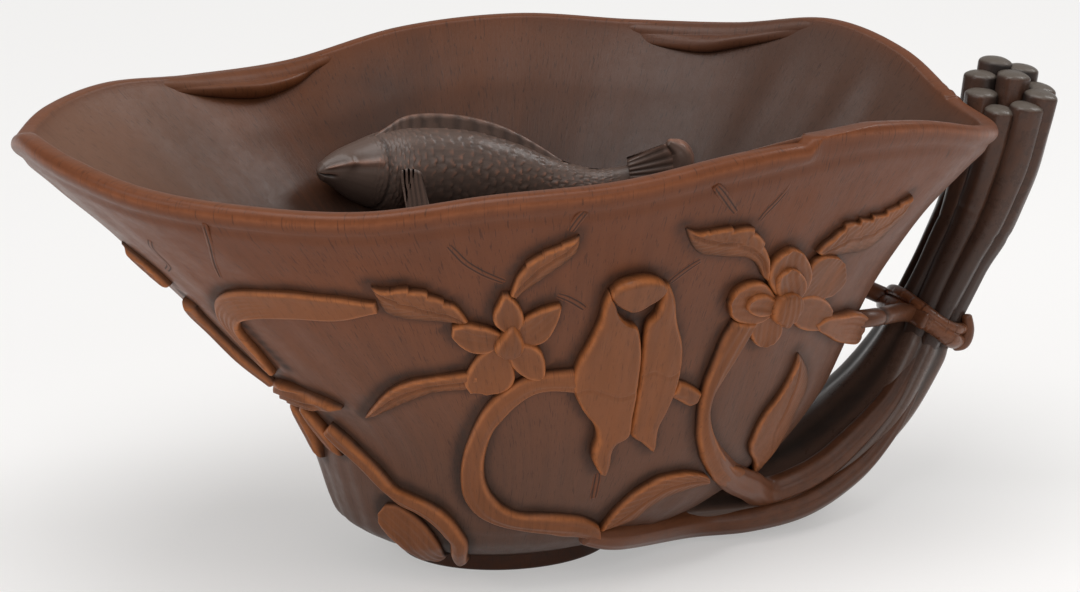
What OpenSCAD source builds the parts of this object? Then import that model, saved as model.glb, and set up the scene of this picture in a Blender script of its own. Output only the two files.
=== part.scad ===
// Drinking cup carved from one horn, shaped as a lotus leaf.
// A flared oval bowl stands on a small foot. Stems gathered in a bundle form the handle,
// blossoms and leaves stand in relief on the wall, and a carp swims inside.
// +X points to the handle, -Y is the side that was photographed, the foot rests at z = 0.

/* [Cup] */
// mean height of the lip above the table
cup_height = 66; // [58:1:76]
// reach of the lip from the foot's centre toward the spout
spout_reach = 74; // [66:1:82]
// reach of the lip from the foot's centre toward the handle
lip_reach = 73.5; // [66:0.5:80]
// width of the mouth
mouth_width = 100; // [88:1:112]
// length of the foot
foot_length = 33; // [28:1:40]
// width of the foot
foot_width = 28; // [24:1:34]
// height of the foot under the bowl
foot_height = 2.5; // [1.5:0.1:4]
// thickness of the rounded lip
lip_wall = 3.6; // [2.8:0.1:4.6]
// height of the bowl's floor above the table
floor_height = 26; // [20:1:30]
// depth of the rim's folds
fold_depth = 2.4; // [1.6:0.1:3.4]

/* [Relief] */
// depth that each carved form is keyed below the wall
relief_key = 0.9; // [0.5:0.1:1.4]
// height of the petals above the wall
petal_lift = 1.9; // [1:0.1:3]
// height of the leaves above the wall
leaf_lift = 1.7; // [1:0.1:3]
// height of the stems above the wall
stem_lift = 2.0; // [1:0.1:3]
// half the width of the widest petal
petal_half = 2.7; // [2:0.1:3.2]
// half the width of the widest leaf
leaf_half = 2.5; // [1.8:0.1:3.2]
// half the width of a relief stem
stem_half = 1.6; // [1:0.1:2.2]
// half the width of the widest furled lobe
furl_half = 4.8; // [4:0.1:5.4]

/* [Handle] */
// radius of one stem of the handle at the top
cane_radius = 2.4; // [2:0.1:2.7]
// half the depth of the handle bundle at its top
bundle_deep = 7.8; // [6.6:0.1:8.6]
// half the width of the handle bundle at its top
bundle_wide = 7.6; // [6.6:0.1:8.4]
// depth that the thick root of the handle lies below its stems
stock_inset = 0.9; // [0.5:0.1:1.4]
// radius of the tie around the bundle
tie_radius = 1.4; // [1:0.1:2]

/* [Fish] */
// length of the carp from snout to tail root
fish_length = 52; // [46:1:56]
// half the height of the carp's body
fish_half = 7; // [6:0.1:8]
// thickness of a fin
fin_wall = 1.2; // [0.8:0.1:2]

/* [Detail] */
// facets around the wall
around = 60; // [48:4:72]
// stations along a relief form
stations = 10; // [8:1:14]
// facets around a stem
sides = 8; // [6:1:10]

/* [Hidden] */
// how high on the wall each of the next three tables' shares is read
level_shares = [0, 0.03, 0.07, 0.12, 0.20, 0.30, 0.40, 0.50, 0.60, 0.70, 0.80, 0.90, 1];
left_shares = [0, 0.10, 0.165, 0.19, 0.215, 0.245, 0.32, 0.44, 0.545, 0.655, 0.765, 0.89, 1];
right_shares = [0, 0.17, 0.29, 0.39, 0.50, 0.585, 0.635, 0.675, 0.72, 0.78, 0.85, 0.935, 1];
side_shares = [0, 0.12, 0.22, 0.30, 0.385, 0.47, 0.54, 0.61, 0.68, 0.76, 0.84, 0.92, 1];
// the lip's height and reach every 15 degrees, from the handle toward the back
rise_shares = [0.925, 1, 1.04, 1.01, 1.01, 1.03, 1.015, 0.965, 0.97, 1, 1, 0.99,
               1.04, 1.03, 1, 0.985, 0.98, 1.01, 1.02, 1.05, 1.06, 1.03, 0.965, 0.92];
reach_shares = [1.01, 1, 1, 1, 1, 1, 1, 1, 1, 1, 1, 1,
                1, 1, 1, 1, 1, 1, 1, 1, 1, 1.01, 1.04, 1.04];
// levels at which the bowl's skin is drawn, outside and inside
outer_shares = [0, 0.03, 0.07, 0.12, 0.2, 0.3, 0.4, 0.5, 0.6, 0.7, 0.8, 0.9, 1];
inner_shares = [1, 0.88, 0.75, 0.62, 0.49, 0.36, 0.24, 0.13, 0.05];
round_shares = [0, 0.62, 0.80, 0.88, 0.93, 0.96, 0.98, 0.99, 1];
lip_turn_shares = [0.25, 0.5, 0.75];
bowl_wall_share = 1.3;
floor_wall_share = 0.9;

// half sections of a relief form: across and up, as shares of its half width and lift
leaf_section_shares = [[-1, -1], [-1, 0.45], [-0.8, 0.9], [-0.35, 0.8], [0, 1],
                       [0.35, 0.8], [0.8, 0.9], [1, 0.45], [1, -1]];
stem_section_shares = [[-1, -1], [-1, 0.2], [-0.75, 0.75], [-0.3, 0.97], [0.3, 0.97],
                       [0.75, 0.75], [1, 0.2], [1, -1]];
petal_section_shares = [[-1, -1], [-1, 0.5], [-0.8, 0.95], [-0.3, 0.7], [0.3, 0.7],
                        [0.8, 0.95], [1, 0.5], [1, -1]];
leaf_width_shares = [0.12, 0.75, 1, 1, 0.8, 0.4];
petal_width_shares = [0.4, 0.85, 1, 0.9, 0.4];
stem_width_shares = [0.9, 1, 1, 1, 0.9];
even_shares = [0.8, 1, 1, 1, 0.8];
tip_shares = [0.35, 1, 1, 1, 0.7];

// Centre lines on the wall: [degrees around from the handle, share of the lip's height].
curled_shares = [[264, 0.533], [257.7, 0.52], [252.5, 0.485], [248.5, 0.435], [243, 0.36],
               [241, 0.30], [241.7, 0.243], [245.2, 0.20], [250.3, 0.168], [256.6, 0.153],
               [266, 0.143], [273, 0.125], [279, 0.10]];
right_stem_shares = [[293.5, 0.627], [292.7, 0.587], [292.2, 0.532], [291.2, 0.49], [290.7, 0.446],
                   [292.5, 0.385], [295, 0.335], [299.4, 0.275], [306, 0.21]];
swan_shares = [[196, 0.365], [199, 0.335], [203, 0.295], [208, 0.26], [213, 0.225],
             [220.5, 0.19], [226.3, 0.17], [231.5, 0.135], [237, 0.085], [239.5, 0.03]];
strap_shares = [[237, 0.776], [229.5, 0.766], [222.8, 0.763], [214.3, 0.745], [208, 0.71],
              [203, 0.66], [201, 0.62], [200, 0.565], [199, 0.51]];

// The handle's centre line: shares of the lip's reach and of the cup's height.
handle_shares = [[0.163, 0.091], [0.354, 0.079], [0.517, 0.08], [0.639, 0.109], [0.735, 0.167],
                 [0.801, 0.224], [0.848, 0.279], [0.902, 0.364], [0.948, 0.459], [0.997, 0.564],
                 [1.045, 0.659], [1.082, 0.767], [1.11, 0.883], [1.128, 1]];
// how deep, wide and thick the bundle is along that line, as shares of its top
deep_shares = [0.54, 0.56, 0.59, 0.67, 0.72, 0.74, 0.74, 0.72, 0.69, 0.69, 0.77, 0.85, 0.92, 1];
wide_shares = [1.71, 1.78, 1.78, 1.64, 1.45, 1.29, 1.16, 0.97, 0.87, 0.87, 0.89, 0.95, 0.97, 1];
cane_shares = [1, 1, 1, 1, 1, 0.98, 0.92, 0.82, 0.74, 0.76, 0.84, 0.92, 0.97, 1];
cane_from_share = 0.1;
stock_to_share = 0.56;
dome_shares = [0.3, 0.6];
tie_at_share = 0.59;
knot_share = 1.5;
// each cane of the bundle: turn about the centre line, in its ring or at its middle, top end
cane_place_shares = [[0, 0, 0.985], [8, 1, 0.97], [52, 1, 0.99], [95, 1, 1], [140, 1, 0.975],
              [185, 1, 0.955], [230, 1, 0.94], [273, 1, 0.95], [318, 1, 0.965]];

// The carp's centre line: shares of its length along, of its half height in front of
// the bowl's inner wall, and of the cup's height up.
fish_shares = [[0, 1.13, 0.788], [0.07, 1.09, 0.784], [0.147, 1, 0.772], [0.22, 0.96, 0.764],
               [0.3, 0.92, 0.756], [0.46, 0.81, 0.741], [0.61, 0.68, 0.717], [0.745, 0.58, 0.697],
               [0.875, 0.59, 0.693], [0.98, 0.76, 0.713]];
fish_from_share = -0.385;
fin_root_share = 0.85;
fin_rise_share = 0.42;
body_shares = [0.14, 0.45, 0.72, 0.9, 1, 0.98, 0.84, 0.58, 0.36, 0.3];
flat_share = 0.78;

// a smooth curve through a table's entries, x from 0 to 1 along it
function along(tab, x) =
    let (n = len(tab) - 1, c = min(max(x * n, 0), n), i = min(floor(c), n - 1), f = c - i,
         a = tab[max(i - 1, 0)], b = tab[i], d = tab[i + 1], e = tab[min(i + 2, n)])
    b + ((d - a) * f + (2 * a - 5 * b + 4 * d - e) * f * f + (3 * b - a - 3 * d + e) * f * f * f) / 2;

// the same for a table that goes once around, read by its angle
function turning(tab, turn) =
    let (n = len(tab), c = turn / 360 * n, i = floor(c), f = c - i,
         a = tab[(i - 1 + n) % n], b = tab[(i + n) % n], d = tab[(i + 1 + n) % n], e = tab[(i + 2 + n) % n])
    b + ((d - a) * f + (2 * a - 5 * b + 4 * d - e) * f * f + (3 * b - a - 3 * d + e) * f * f * f) / 2;

level_steps = [for (i = [0:len(level_shares) - 1]) [level_shares[i], i / (len(level_shares) - 1)]];
function at_level(tab, level) = along(tab, lookup(level, level_steps));
function unit(v) = v / max(norm(v), 1e-9);
function lip_height(turn) = cup_height * turning(rise_shares, turn);

// a point of the outside of the bowl
function outside(turn, level) =
    let (reach = cos(turn) > 0 ? lip_reach : spout_reach,
         bulge = 1 + (turning(reach_shares, turn) - 1) * level ^ 3,
         rise = cup_height * (1 + (turning(rise_shares, turn) - 1) * level ^ 2) - foot_height,
         long = foot_length / 2 + (reach - foot_length / 2)
                * at_level(cos(turn) > 0 ? right_shares : left_shares, level),
         wide = (foot_width + (mouth_width - foot_width) * at_level(side_shares, level)) / 2)
    [long * cos(turn) * bulge, wide * sin(turn) * bulge, foot_height + rise * level];

// a point of the inside of the bowl, level 0 at the floor and 1 at the lip
function inside(turn, level) =
    let (top = lip_height(turn), z = floor_height + (top - floor_height) * level,
         p = outside(turn, (z - foot_height) / (top - foot_height)), r = norm([p.x, p.y]),
         wall = lip_wall * (bowl_wall_share + floor_wall_share * (1 - level)),
         fit = (r - wall) / r * along(round_shares, level))
    [p.x * fit, p.y * fit, z];

function skin(turn, level, within) = within ? inside(turn, level) : outside(turn, level);

// closed skin from rings of equal length: the first and last rings are closed flat
module skin_of(rings) {
    n = len(rings[0]);
    m = len(rings);
    polyhedron(
        points = [for (r = rings) each r],
        faces = concat(
            [for (i = [0:m - 2], j = [0:n - 1])
                [i * n + j, (i + 1) * n + (j + 1) % n, i * n + (j + 1) % n]],
            [for (i = [0:m - 2], j = [0:n - 1])
                [i * n + j, (i + 1) * n + j, (i + 1) * n + (j + 1) % n]],
            [for (j = [1:n - 2]) [0, j, j + 1]],
            [for (j = [1:n - 2]) [(m - 1) * n, (m - 1) * n + j + 1, (m - 1) * n + j]]));
}

// one ring of a carved form: a section laid on the wall across its centre line
function relief_ring(line, x, half, lift, key, section, within) =
    let (dx = 0.01, c = along(line, x), q = along(line, min(x + dx, 1)) - along(line, max(x - dx, 0)),
         dt = 0.5, dl = 0.005,
         along_turn = (skin(c[0] + dt, c[1], within) - skin(c[0] - dt, c[1], within)) / (2 * dt),
         along_level = (skin(c[0], c[1] + dl, within) - skin(c[0], c[1] - dl, within)) / (2 * dl),
         out = unit(cross(along_turn, along_level)) * (within ? -1 : 1),
         heading = unit(along_turn * q[0] + along_level * q[1]),
         across = cross(out, heading),
         tt = along_turn * along_turn, ll = along_level * along_level, tl = along_turn * along_level,
         at = across * along_turn, al = across * along_level, det = tt * ll - tl * tl,
         step = [(at * ll - al * tl) / det, (al * tt - at * tl) / det])
    [for (s = section)
        let (w = c + step * s[0] * half)
        skin(w[0], w[1], within) + out * (s[1] > 0 ? s[1] * lift : s[1] * key)];

// a carved form laid along a centre line on the wall
module relief(line, half, widths, lift, lifts, section, within = false, steps = stations)
    skin_of([for (i = [0:steps])
        let (x = i / steps)
        relief_ring(line, x, half * along(widths, x), lift * along(lifts, x), relief_key, section, within)]);

module petal(line, half_share = 1)
    relief(line, petal_half * half_share, petal_width_shares, petal_lift, even_shares,
           petal_section_shares, steps = stations - 3);

module leaf(line, half_share = 1, widths = leaf_width_shares)
    relief(line, leaf_half * half_share, widths, leaf_lift, tip_shares, leaf_section_shares);

module stem(line, half_share = 1, widths = stem_width_shares, steps = stations)
    relief(line, stem_half * half_share, widths, stem_lift * half_share, even_shares,
           stem_section_shares, steps = steps);

// a round heart of a blossom, keyed into the wall
module heart(turn, level, radius) translate(outside(turn, level)) sphere(r = radius, $fn = 24);

// the bowl: outside, rounded lip and inside as one closed skin
module cup_wall() color("sienna") {
    turns = [for (j = [0:around - 1]) 360 * j / around];
    skin_of(concat(
        [for (level = outer_shares) [for (t = turns) outside(t, level)]],
        [for (lip = 180 * lip_turn_shares) [for (t = turns)
            let (a = outside(t, 1), b = inside(t, 1), c = (a + b) / 2)
            c + (a - b) / 2 * cos(lip) + [0, 0, lip_wall / 2 * sin(lip)]]],
        [for (level = inner_shares) [for (t = turns) inside(t, level)]]));
}

// the foot: a low oval pad under the bowl, cut flat
module foot() color("saddlebrown")
    linear_extrude(foot_height + relief_key)
        polygon([for (j = [0:around - 1])
            [foot_length / 2 * cos(360 * j / around), foot_width / 2 * sin(360 * j / around)]]);

// folds of the leaf's edge that turn in over the mouth
module rim_fold(line, widths)
    relief(line, fold_depth * 1.6, widths, fold_depth, even_shares, stem_section_shares, within = true);

module rim_fold_spout() color("sienna")
    rim_fold([[146, 0.86], [138, 0.875], [128, 0.90], [117, 0.90], [108, 0.91]], [0.5, 1, 1, 0.8, 0.2]);
module rim_fold_back() color("sienna")
    rim_fold([[79, 0.92], [70, 0.90], [60, 0.895], [50, 0.92]], [0.2, 0.9, 1, 0.3]);
module rim_fold_front() color("sienna")
    rim_fold([[288, 0.93], [298, 0.92], [308, 0.925], [318, 0.93]], [0.3, 0.9, 0.9, 0.3]);

// the handle's centre line, its heading and the frame that its canes are set out in
function handle_at(x) = let (p = along(handle_shares, x)) [p[0] * lip_reach, 0, p[1] * cup_height];
function handle_heading(x) = unit(handle_at(min(x + 0.01, 1)) - handle_at(max(x - 0.01, 0)));
function handle_out(x) = let (h = handle_heading(x)) [h.z, 0, -h.x];
function bundle_point(x, turn, ring = 1, extra = 0) =
    handle_at(x)
    + handle_out(x) * ring * (bundle_deep * along(deep_shares, x) + extra) * cos(turn)
    + [0, 1, 0] * ring * (bundle_wide * along(wide_shares, x) + extra) * sin(turn);

// one cane of the bundle, closed by a low dome at its cut top
module cane(k) {
    spec = cane_place_shares[k];
    steps = 2 * stations;
    function ring_at(x, rise, share) =
        let (r = cane_radius * along(cane_shares, x), h = handle_heading(x), o = handle_out(x),
             c = bundle_point(x, spec[0], spec[1], -r) + h * r * rise)
        [for (j = [0:sides - 1])
            c + (o * cos(360 * j / sides) + [0, -1, 0] * sin(360 * j / sides)) * r * share];
    skin_of(concat(
        [for (i = [0:steps]) ring_at(cane_from_share + (spec[2] - cane_from_share) * i / steps, 0, 1)],
        [ring_at(spec[2], dome_shares[0], dome_shares[1])]));
}
module handle_cane_1() color("peru") cane(0);
module handle_cane_2() color("peru") cane(1);
module handle_cane_3() color("peru") cane(2);
module handle_cane_4() color("peru") cane(3);
module handle_cane_5() color("peru") cane(4);
module handle_cane_6() color("peru") cane(5);
module handle_cane_7() color("peru") cane(6);
module handle_cane_8() color("peru") cane(7);
module handle_cane_9() color("peru") cane(8);

// a round stem through free space: points, radius and its shares along the way
module tube(path, radius, widths, steps = stations)
    skin_of([for (i = [0:steps])
        let (x = i / steps, c = along(path, x),
             h = unit(along(path, min(x + 0.01, 1)) - along(path, max(x - 0.01, 0))),
             a = unit(cross(h, [0, 0, 1])), b = cross(h, a), r = radius * along(widths, x))
        [for (j = [0:sides - 1]) c + (a * cos(360 * j / sides) + b * sin(360 * j / sides)) * r]]);

// the thick root of the bundle, from the foot up to where the canes part
module handle_stock() color("peru") {
    steps = stations + 2;
    facets = 2 * sides;
    skin_of([for (i = [0:steps])
        let (x = stock_to_share * i / steps, slim = i == steps ? stock_inset * 3 : stock_inset)
        [for (j = [0:facets - 1]) bundle_point(x, -360 * j / facets, 1, -slim)]]);
}

// the blossom stem that leaves the wall and runs along the root of the handle
module handle_root() color("peru")
    tube([outside(304, 0.2), outside(310, 0.12) + [foot_height, 0, 0],
          bundle_point(0.15, 247, 0.98), bundle_point(0.22, 250, 0.98), bundle_point(0.3, 252, 0.96),
          bundle_point(0.38, 254, 0.9)],
         cane_radius, [0.75, 0.85, 0.9, 0.85, 0.75, 0.5]);

// the tie: a ring around the bundle, a branch to the wall on each side and a knot
module tie_band() color("saddlebrown") {
    turns = 24;
    ring = [for (i = [0:turns - 1])
        let (t = 360 * i / turns, c = bundle_point(tie_at_share, t, 1, tie_radius / 3),
             o = unit(handle_out(tie_at_share) * cos(t) + [0, sin(t), 0]))
        [for (j = [0:sides - 1])
            c + (o * cos(360 * j / sides) + handle_heading(tie_at_share) * sin(360 * j / sides)) * tie_radius]];
    n = sides;
    polyhedron(
        points = [for (r = ring) each r],
        faces = concat(
            [for (i = [0:turns - 1], j = [0:n - 1])
                [i * n + j, ((i + 1) % turns) * n + (j + 1) % n, i * n + (j + 1) % n]],
            [for (i = [0:turns - 1], j = [0:n - 1])
                [i * n + j, ((i + 1) % turns) * n + j, ((i + 1) % turns) * n + (j + 1) % n]]));
}
module tie_branch_front() color("saddlebrown")
    tube([outside(334, 0.505), outside(336, 0.5) + [lip_wall, 0, 0],
          bundle_point(tie_at_share, 215, 1.3), bundle_point(tie_at_share, 240, 1.05, tie_radius / 2)],
         tie_radius, [0.9, 0.95, 1, 1]);
module tie_branch_back() color("saddlebrown")
    tube([outside(26, 0.505), outside(24, 0.5) + [lip_wall, 0, 0],
          bundle_point(tie_at_share, 145, 1.3), bundle_point(tie_at_share, 120, 1.05, tie_radius / 2)],
         tie_radius, [0.9, 0.95, 1, 1]);
module tie_knot() color("saddlebrown")
    translate(bundle_point(tie_at_share, 325, 1, tie_radius)) sphere(r = tie_radius * knot_share, $fn = 24);
module tie_bud() color("peru")
    relief([[312, 0.57], [320, 0.54], [330, 0.52], [338, 0.515]], petal_half, [0.5, 1, 0.9, 0.45],
           petal_lift * 1.2, even_shares, stem_section_shares);

// the spray of five petals at the middle of the photographed side, with its leaves and stem
module spray_petal_1() color("peru") petal([[255.6, 0.70], [255.2, 0.75], [254.7, 0.79]], 0.85);
module spray_petal_2() color("peru") petal([[258.3, 0.675], [260.5, 0.70], [262.9, 0.725]], 1);
module spray_petal_3() color("peru") petal([[257.4, 0.635], [259, 0.605], [260.4, 0.563]], 0.75);
module spray_petal_4() color("peru") petal([[253.2, 0.68], [250.5, 0.69], [247.5, 0.69]], 0.8);
module spray_petal_5() color("peru") petal([[253.5, 0.635], [250.5, 0.605], [246.8, 0.578]], 0.95);
module spray_heart() color("peru") heart(255.6, 0.665, petal_lift * 1.25);
module spray_leaf_1() color("peru")
    leaf([[237.5, 0.815], [239.5, 0.797], [242.5, 0.785], [245.5, 0.765], [248.6, 0.735]]);
module spray_leaf_2() color("peru")
    leaf([[219.5, 0.43], [222.5, 0.455], [229.8, 0.50], [235.7, 0.53], [241.5, 0.553], [245.2, 0.562]]);
module spray_leaf_3() color("peru")
    leaf([[265, 0.915], [261.2, 0.86], [258.7, 0.83], [257.2, 0.80]], 1.1);
module curled_stem() color("peru") stem(curled_shares, steps = 2 * stations);

// the large blossom near the handle, with its leaves and stem
module lotus_petal_1() color("peru") petal([[299.3, 0.69], [298.3, 0.725], [297.4, 0.768]], 1.1);
module lotus_petal_2() color("peru") petal([[303.8, 0.67], [306, 0.695], [308.8, 0.722]], 0.95);
module lotus_petal_3() color("peru") petal([[296.3, 0.655], [293, 0.675], [289.6, 0.68]], 1);
module lotus_petal_4() color("peru") petal([[304.5, 0.62], [308, 0.60], [311.4, 0.59]], 0.85);
module lotus_petal_5() color("peru") petal([[299.2, 0.60], [298.8, 0.585], [298.3, 0.562]], 0.75);
module lotus_heart() color("peru") heart(300.3, 0.637, petal_lift * 1.4);
module lotus_leaf_1() color("peru")
    leaf([[278.5, 0.895], [281.6, 0.856], [284.5, 0.84], [287.2, 0.834], [290, 0.81],
          [292.6, 0.768], [294.5, 0.73]], 1, [0.1, 0.75, 1, 1, 0.8, 0.55, 0.3]);
module lotus_leaf_2() color("peru")
    leaf([[321, 0.855], [316.5, 0.808], [311.5, 0.775], [307, 0.755], [305.3, 0.745]], 0.95,
         [0.1, 0.8, 1, 0.9, 0.6]);
module lotus_stem() color("peru") stem(right_stem_shares, steps = 2 * stations);
module crescent_leaf() color("peru")
    leaf([[310, 0.49], [314.5, 0.435], [315.5, 0.38], [315.5, 0.325], [316, 0.265], [318, 0.21]], 0.9);

// the furled leaf between the two blossoms: two rolled lobes under a hood
module furled_leaf_left() color("peru")
    relief([[271.6, 0.70], [271.6, 0.645], [271.4, 0.575], [271.6, 0.52], [272.5, 0.47],
            [273.4, 0.43], [274.6, 0.40], [275.2, 0.365]],
           furl_half, [0.55, 0.75, 0.92, 1, 0.88, 0.68, 0.48, 0.15],
           leaf_lift * 1.3, even_shares, stem_section_shares);
module furled_leaf_right() color("peru")
    relief([[278.9, 0.70], [278.9, 0.665], [279.3, 0.615], [279.9, 0.57], [280.5, 0.51],
            [280.9, 0.45], [281.1, 0.40], [281.8, 0.36], [282.5, 0.315]],
           furl_half * 0.6, [0.6, 0.85, 1, 1, 0.95, 0.88, 0.75, 0.5, 0.12],
           leaf_lift * 1.2, even_shares, stem_section_shares);
module furled_leaf_hood() color("peru")
    relief([[270, 0.735], [271.5, 0.772], [274, 0.782], [276.3, 0.772], [278.6, 0.735]],
           furl_half / 2, [0.5, 0.95, 1, 0.95, 0.5], leaf_lift * 1.6, even_shares, stem_section_shares);
module arch_leaf() color("peru")
    leaf([[279.5, 0.10], [283, 0.14], [286, 0.165], [289.7, 0.19], [294, 0.195], [298.5, 0.20]], 0.75);
module link_stem() color("peru") stem([[283.9, 0.485], [286.3, 0.465], [288.9, 0.44]], 0.75);

// the strap leaf, twig, pod and petals toward the spout
module strap_leaf() color("peru")
    relief(strap_shares, leaf_half * 1.2, [0.35, 0.8, 0.95, 1, 0.95, 0.75, 0.65, 0.6, 0.4],
           leaf_lift, even_shares, leaf_section_shares, steps = 2 * stations);
module spout_twig() color("peru") {
    leaf([[186, 0.765], [188, 0.735], [191, 0.705]], 0.8);
    stem([[190, 0.66], [187, 0.62], [186, 0.57], [187, 0.52], [189, 0.47], [190, 0.45]], 0.8);
}
module pod() color("peru")
    leaf([[214, 0.45], [209, 0.455], [203, 0.455], [198, 0.452], [193.5, 0.445]], 1.1,
         [0.1, 0.45, 0.8, 1, 0.8]);
module hanging_petals() color("peru") {
    petal([[183.5, 0.375], [182.5, 0.305], [183, 0.23]], 0.55);
    petal([[192, 0.395], [195, 0.33], [197, 0.27]], 0.5);
}
module swan_stem() color("peru") stem(swan_shares, 0.95, [0.5, 0.7, 0.9, 1.15, 1.1], 2 * stations);
module scroll_leaf() color("peru")
    leaf([[209.5, 0.135], [217, 0.12], [223.5, 0.085], [229, 0.035]], 0.8, [0.3, 0.9, 1, 0.6]);

// the far side of the bowl's inner wall, at a place along the cup and a height
function bowl_back(x, z) =
    let (level = (z - foot_height) / (cup_height - foot_height),
         reach = x > 0 ? lip_reach : spout_reach,
         long = foot_length / 2 + (reach - foot_length / 2)
                * at_level(x > 0 ? right_shares : left_shares, level),
         wide = (foot_width + (mouth_width - foot_width) * at_level(side_shares, level)) / 2)
    (wide - lip_wall) * sqrt(1 - (x / (long - lip_wall)) ^ 2);

// the carp, carved in high relief on the far side of the bowl
function fish_at(x) =
    let (p = along(fish_shares, x), along_cup = fish_length * (p[0] + fish_from_share), up = cup_height * p[2])
    [along_cup, bowl_back(along_cup, up) - fish_half * p[1], up];
function fish_heading(x) = unit(fish_at(min(x + 0.02, 1)) - fish_at(max(x - 0.02, 0)));
module fish_body() color("dimgray") {
    steps = 16;
    facets = 12;
    skin_of([for (i = [0:steps])
        let (x = i / steps, c = fish_at(x), h = fish_heading(x), a = unit(cross(h, [0, 0, 1])),
             up = cross(a, h), r = fish_half * along(body_shares, x))
        [for (j = [0:facets - 1])
            c - a * cos(360 * j / facets) * r * flat_share - up * sin(360 * j / facets) * r]]);
}
// a thin fin standing on a line: base points, tip points and its thickness
module fin(base, tip, wall) {
    n = len(base);
    skin_of([for (i = [0:n - 1])
        let (side = unit(cross(base[min(i + 1, n - 1)] - base[max(i - 1, 0)], tip[i] - base[i])) * wall / 2)
        [base[i] - side, base[i] + side, tip[i] + side / 2, tip[i] - side / 2]]);
}
module fish_back_fin() color("dimgray")
    fin([for (i = [0:6]) let (x = 0.3 + 0.42 * i / 6, deep = along(body_shares, x))
            fish_at(x) + [0, 0, fish_half * deep * fin_root_share]],
        [for (i = [0:6]) let (x = 0.33 + 0.46 * i / 6, swell = sin(180 * (i + 0.6) / 7.2))
            fish_at(x) + [0, 0, fish_half * (along(body_shares, x) + fin_rise_share * swell)]],
        fin_wall);
module fish_tail_fin() color("dimgray")
    fin([for (i = [0:6]) fish_at(0.95) + [0, 0, fish_half * 0.24 * (i / 3 - 1)]],
        [for (i = [0:6]) fish_at(1) + [fish_half * (0.95 - 0.45 * abs(i - 2.5) / 3.5),
            -fish_half * 0.25 * i / 6, fish_half * (i / 3 * 0.75 - 0.35)]],
        fin_wall);
module fish_side_fin() color("dimgray")
    fin([for (i = [0:4]) fish_at(0.25 + 0.05 * i / 4) - [0, fish_half * 0.6, fish_half * 0.05 * i]],
        [for (i = [0:4]) fish_at(0.29 + 0.08 * i / 4)
            - [0, fish_half * (0.95 - 0.04 * i), fish_half * (1.05 - 0.03 * i)]],
        fin_wall);

// the far side: one blossom with leaves and a stem that feeds the tie
module back_petals() color("peru") {
    petal([[93, 0.66], [93.5, 0.71], [94, 0.755]], 1);
    petal([[88.5, 0.635], [85, 0.66], [81.5, 0.675]], 1);
    petal([[90, 0.575], [87, 0.54], [84, 0.51]], 0.95);
    petal([[96.5, 0.575], [99, 0.54], [101.5, 0.51]], 0.95);
    petal([[97.5, 0.635], [101, 0.655], [104.5, 0.67]], 1);
}
module back_heart() color("peru") heart(93, 0.61, petal_lift * 1.35);
module back_leaves() color("peru") {
    leaf([[60, 0.78], [66, 0.77], [72, 0.74], [77, 0.69]], 1.2);
    leaf([[128, 0.60], [122, 0.63], [115, 0.64], [109, 0.625]], 1.2);
    leaf([[118, 0.33], [111, 0.36], [104, 0.40], [99, 0.45]], 1.1);
}
module back_stem() color("peru")
    stem([[30, 0.53], [38, 0.52], [48, 0.47], [56, 0.40], [64, 0.33], [74, 0.285], [84, 0.30],
          [90, 0.36], [92.5, 0.43], [93, 0.50]], 1, steps = 2 * stations);

cup_wall();
foot();
rim_fold_spout();
rim_fold_back();
rim_fold_front();
handle_cane_1();
handle_cane_2();
handle_cane_3();
handle_cane_4();
handle_cane_5();
handle_cane_6();
handle_cane_7();
handle_cane_8();
handle_cane_9();
handle_stock();
handle_root();
tie_band();
tie_branch_front();
tie_branch_back();
tie_knot();
tie_bud();
spray_petal_1();
spray_petal_2();
spray_petal_3();
spray_petal_4();
spray_petal_5();
spray_heart();
spray_leaf_1();
spray_leaf_2();
spray_leaf_3();
curled_stem();
lotus_petal_1();
lotus_petal_2();
lotus_petal_3();
lotus_petal_4();
lotus_petal_5();
lotus_heart();
lotus_leaf_1();
lotus_leaf_2();
lotus_stem();
crescent_leaf();
furled_leaf_left();
furled_leaf_right();
furled_leaf_hood();
arch_leaf();
link_stem();
strap_leaf();
spout_twig();
pod();
hanging_petals();
swan_stem();
scroll_leaf();
fish_body();
fish_back_fin();
fish_tail_fin();
fish_side_fin();
back_petals();
back_heart();
back_leaves();
back_stem();
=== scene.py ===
import math

import bpy
import numpy as np
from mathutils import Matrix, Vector, kdtree


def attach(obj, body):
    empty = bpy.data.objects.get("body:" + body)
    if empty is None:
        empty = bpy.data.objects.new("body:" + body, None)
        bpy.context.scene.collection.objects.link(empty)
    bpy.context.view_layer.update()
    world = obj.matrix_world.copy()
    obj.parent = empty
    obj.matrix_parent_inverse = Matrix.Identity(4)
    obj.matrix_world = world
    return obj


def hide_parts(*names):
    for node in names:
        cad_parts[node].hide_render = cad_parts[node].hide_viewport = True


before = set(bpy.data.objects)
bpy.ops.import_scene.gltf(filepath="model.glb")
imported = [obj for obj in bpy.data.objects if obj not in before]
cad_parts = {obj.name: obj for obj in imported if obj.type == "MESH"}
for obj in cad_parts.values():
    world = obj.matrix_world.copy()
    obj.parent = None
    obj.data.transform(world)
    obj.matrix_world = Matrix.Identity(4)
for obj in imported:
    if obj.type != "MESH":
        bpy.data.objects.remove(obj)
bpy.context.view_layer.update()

# The camera stands where the photographer's did: to the left of the cup's long
# side and a little above the rim, with a long lens.
aim = Vector((0.0055, 0.0, 0.038))
camera_turn, camera_rise, camera_far = math.radians(-20), math.radians(17), 0.75
to_camera = Vector((math.sin(camera_turn) * math.cos(camera_rise),
                    -math.cos(camera_turn) * math.cos(camera_rise), math.sin(camera_rise)))
bpy.ops.object.select_all(action="DESELECT")
bpy.ops.object.camera_add(location=aim + to_camera * camera_far)
camera = bpy.context.object
camera.name = "photo_camera"
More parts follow.
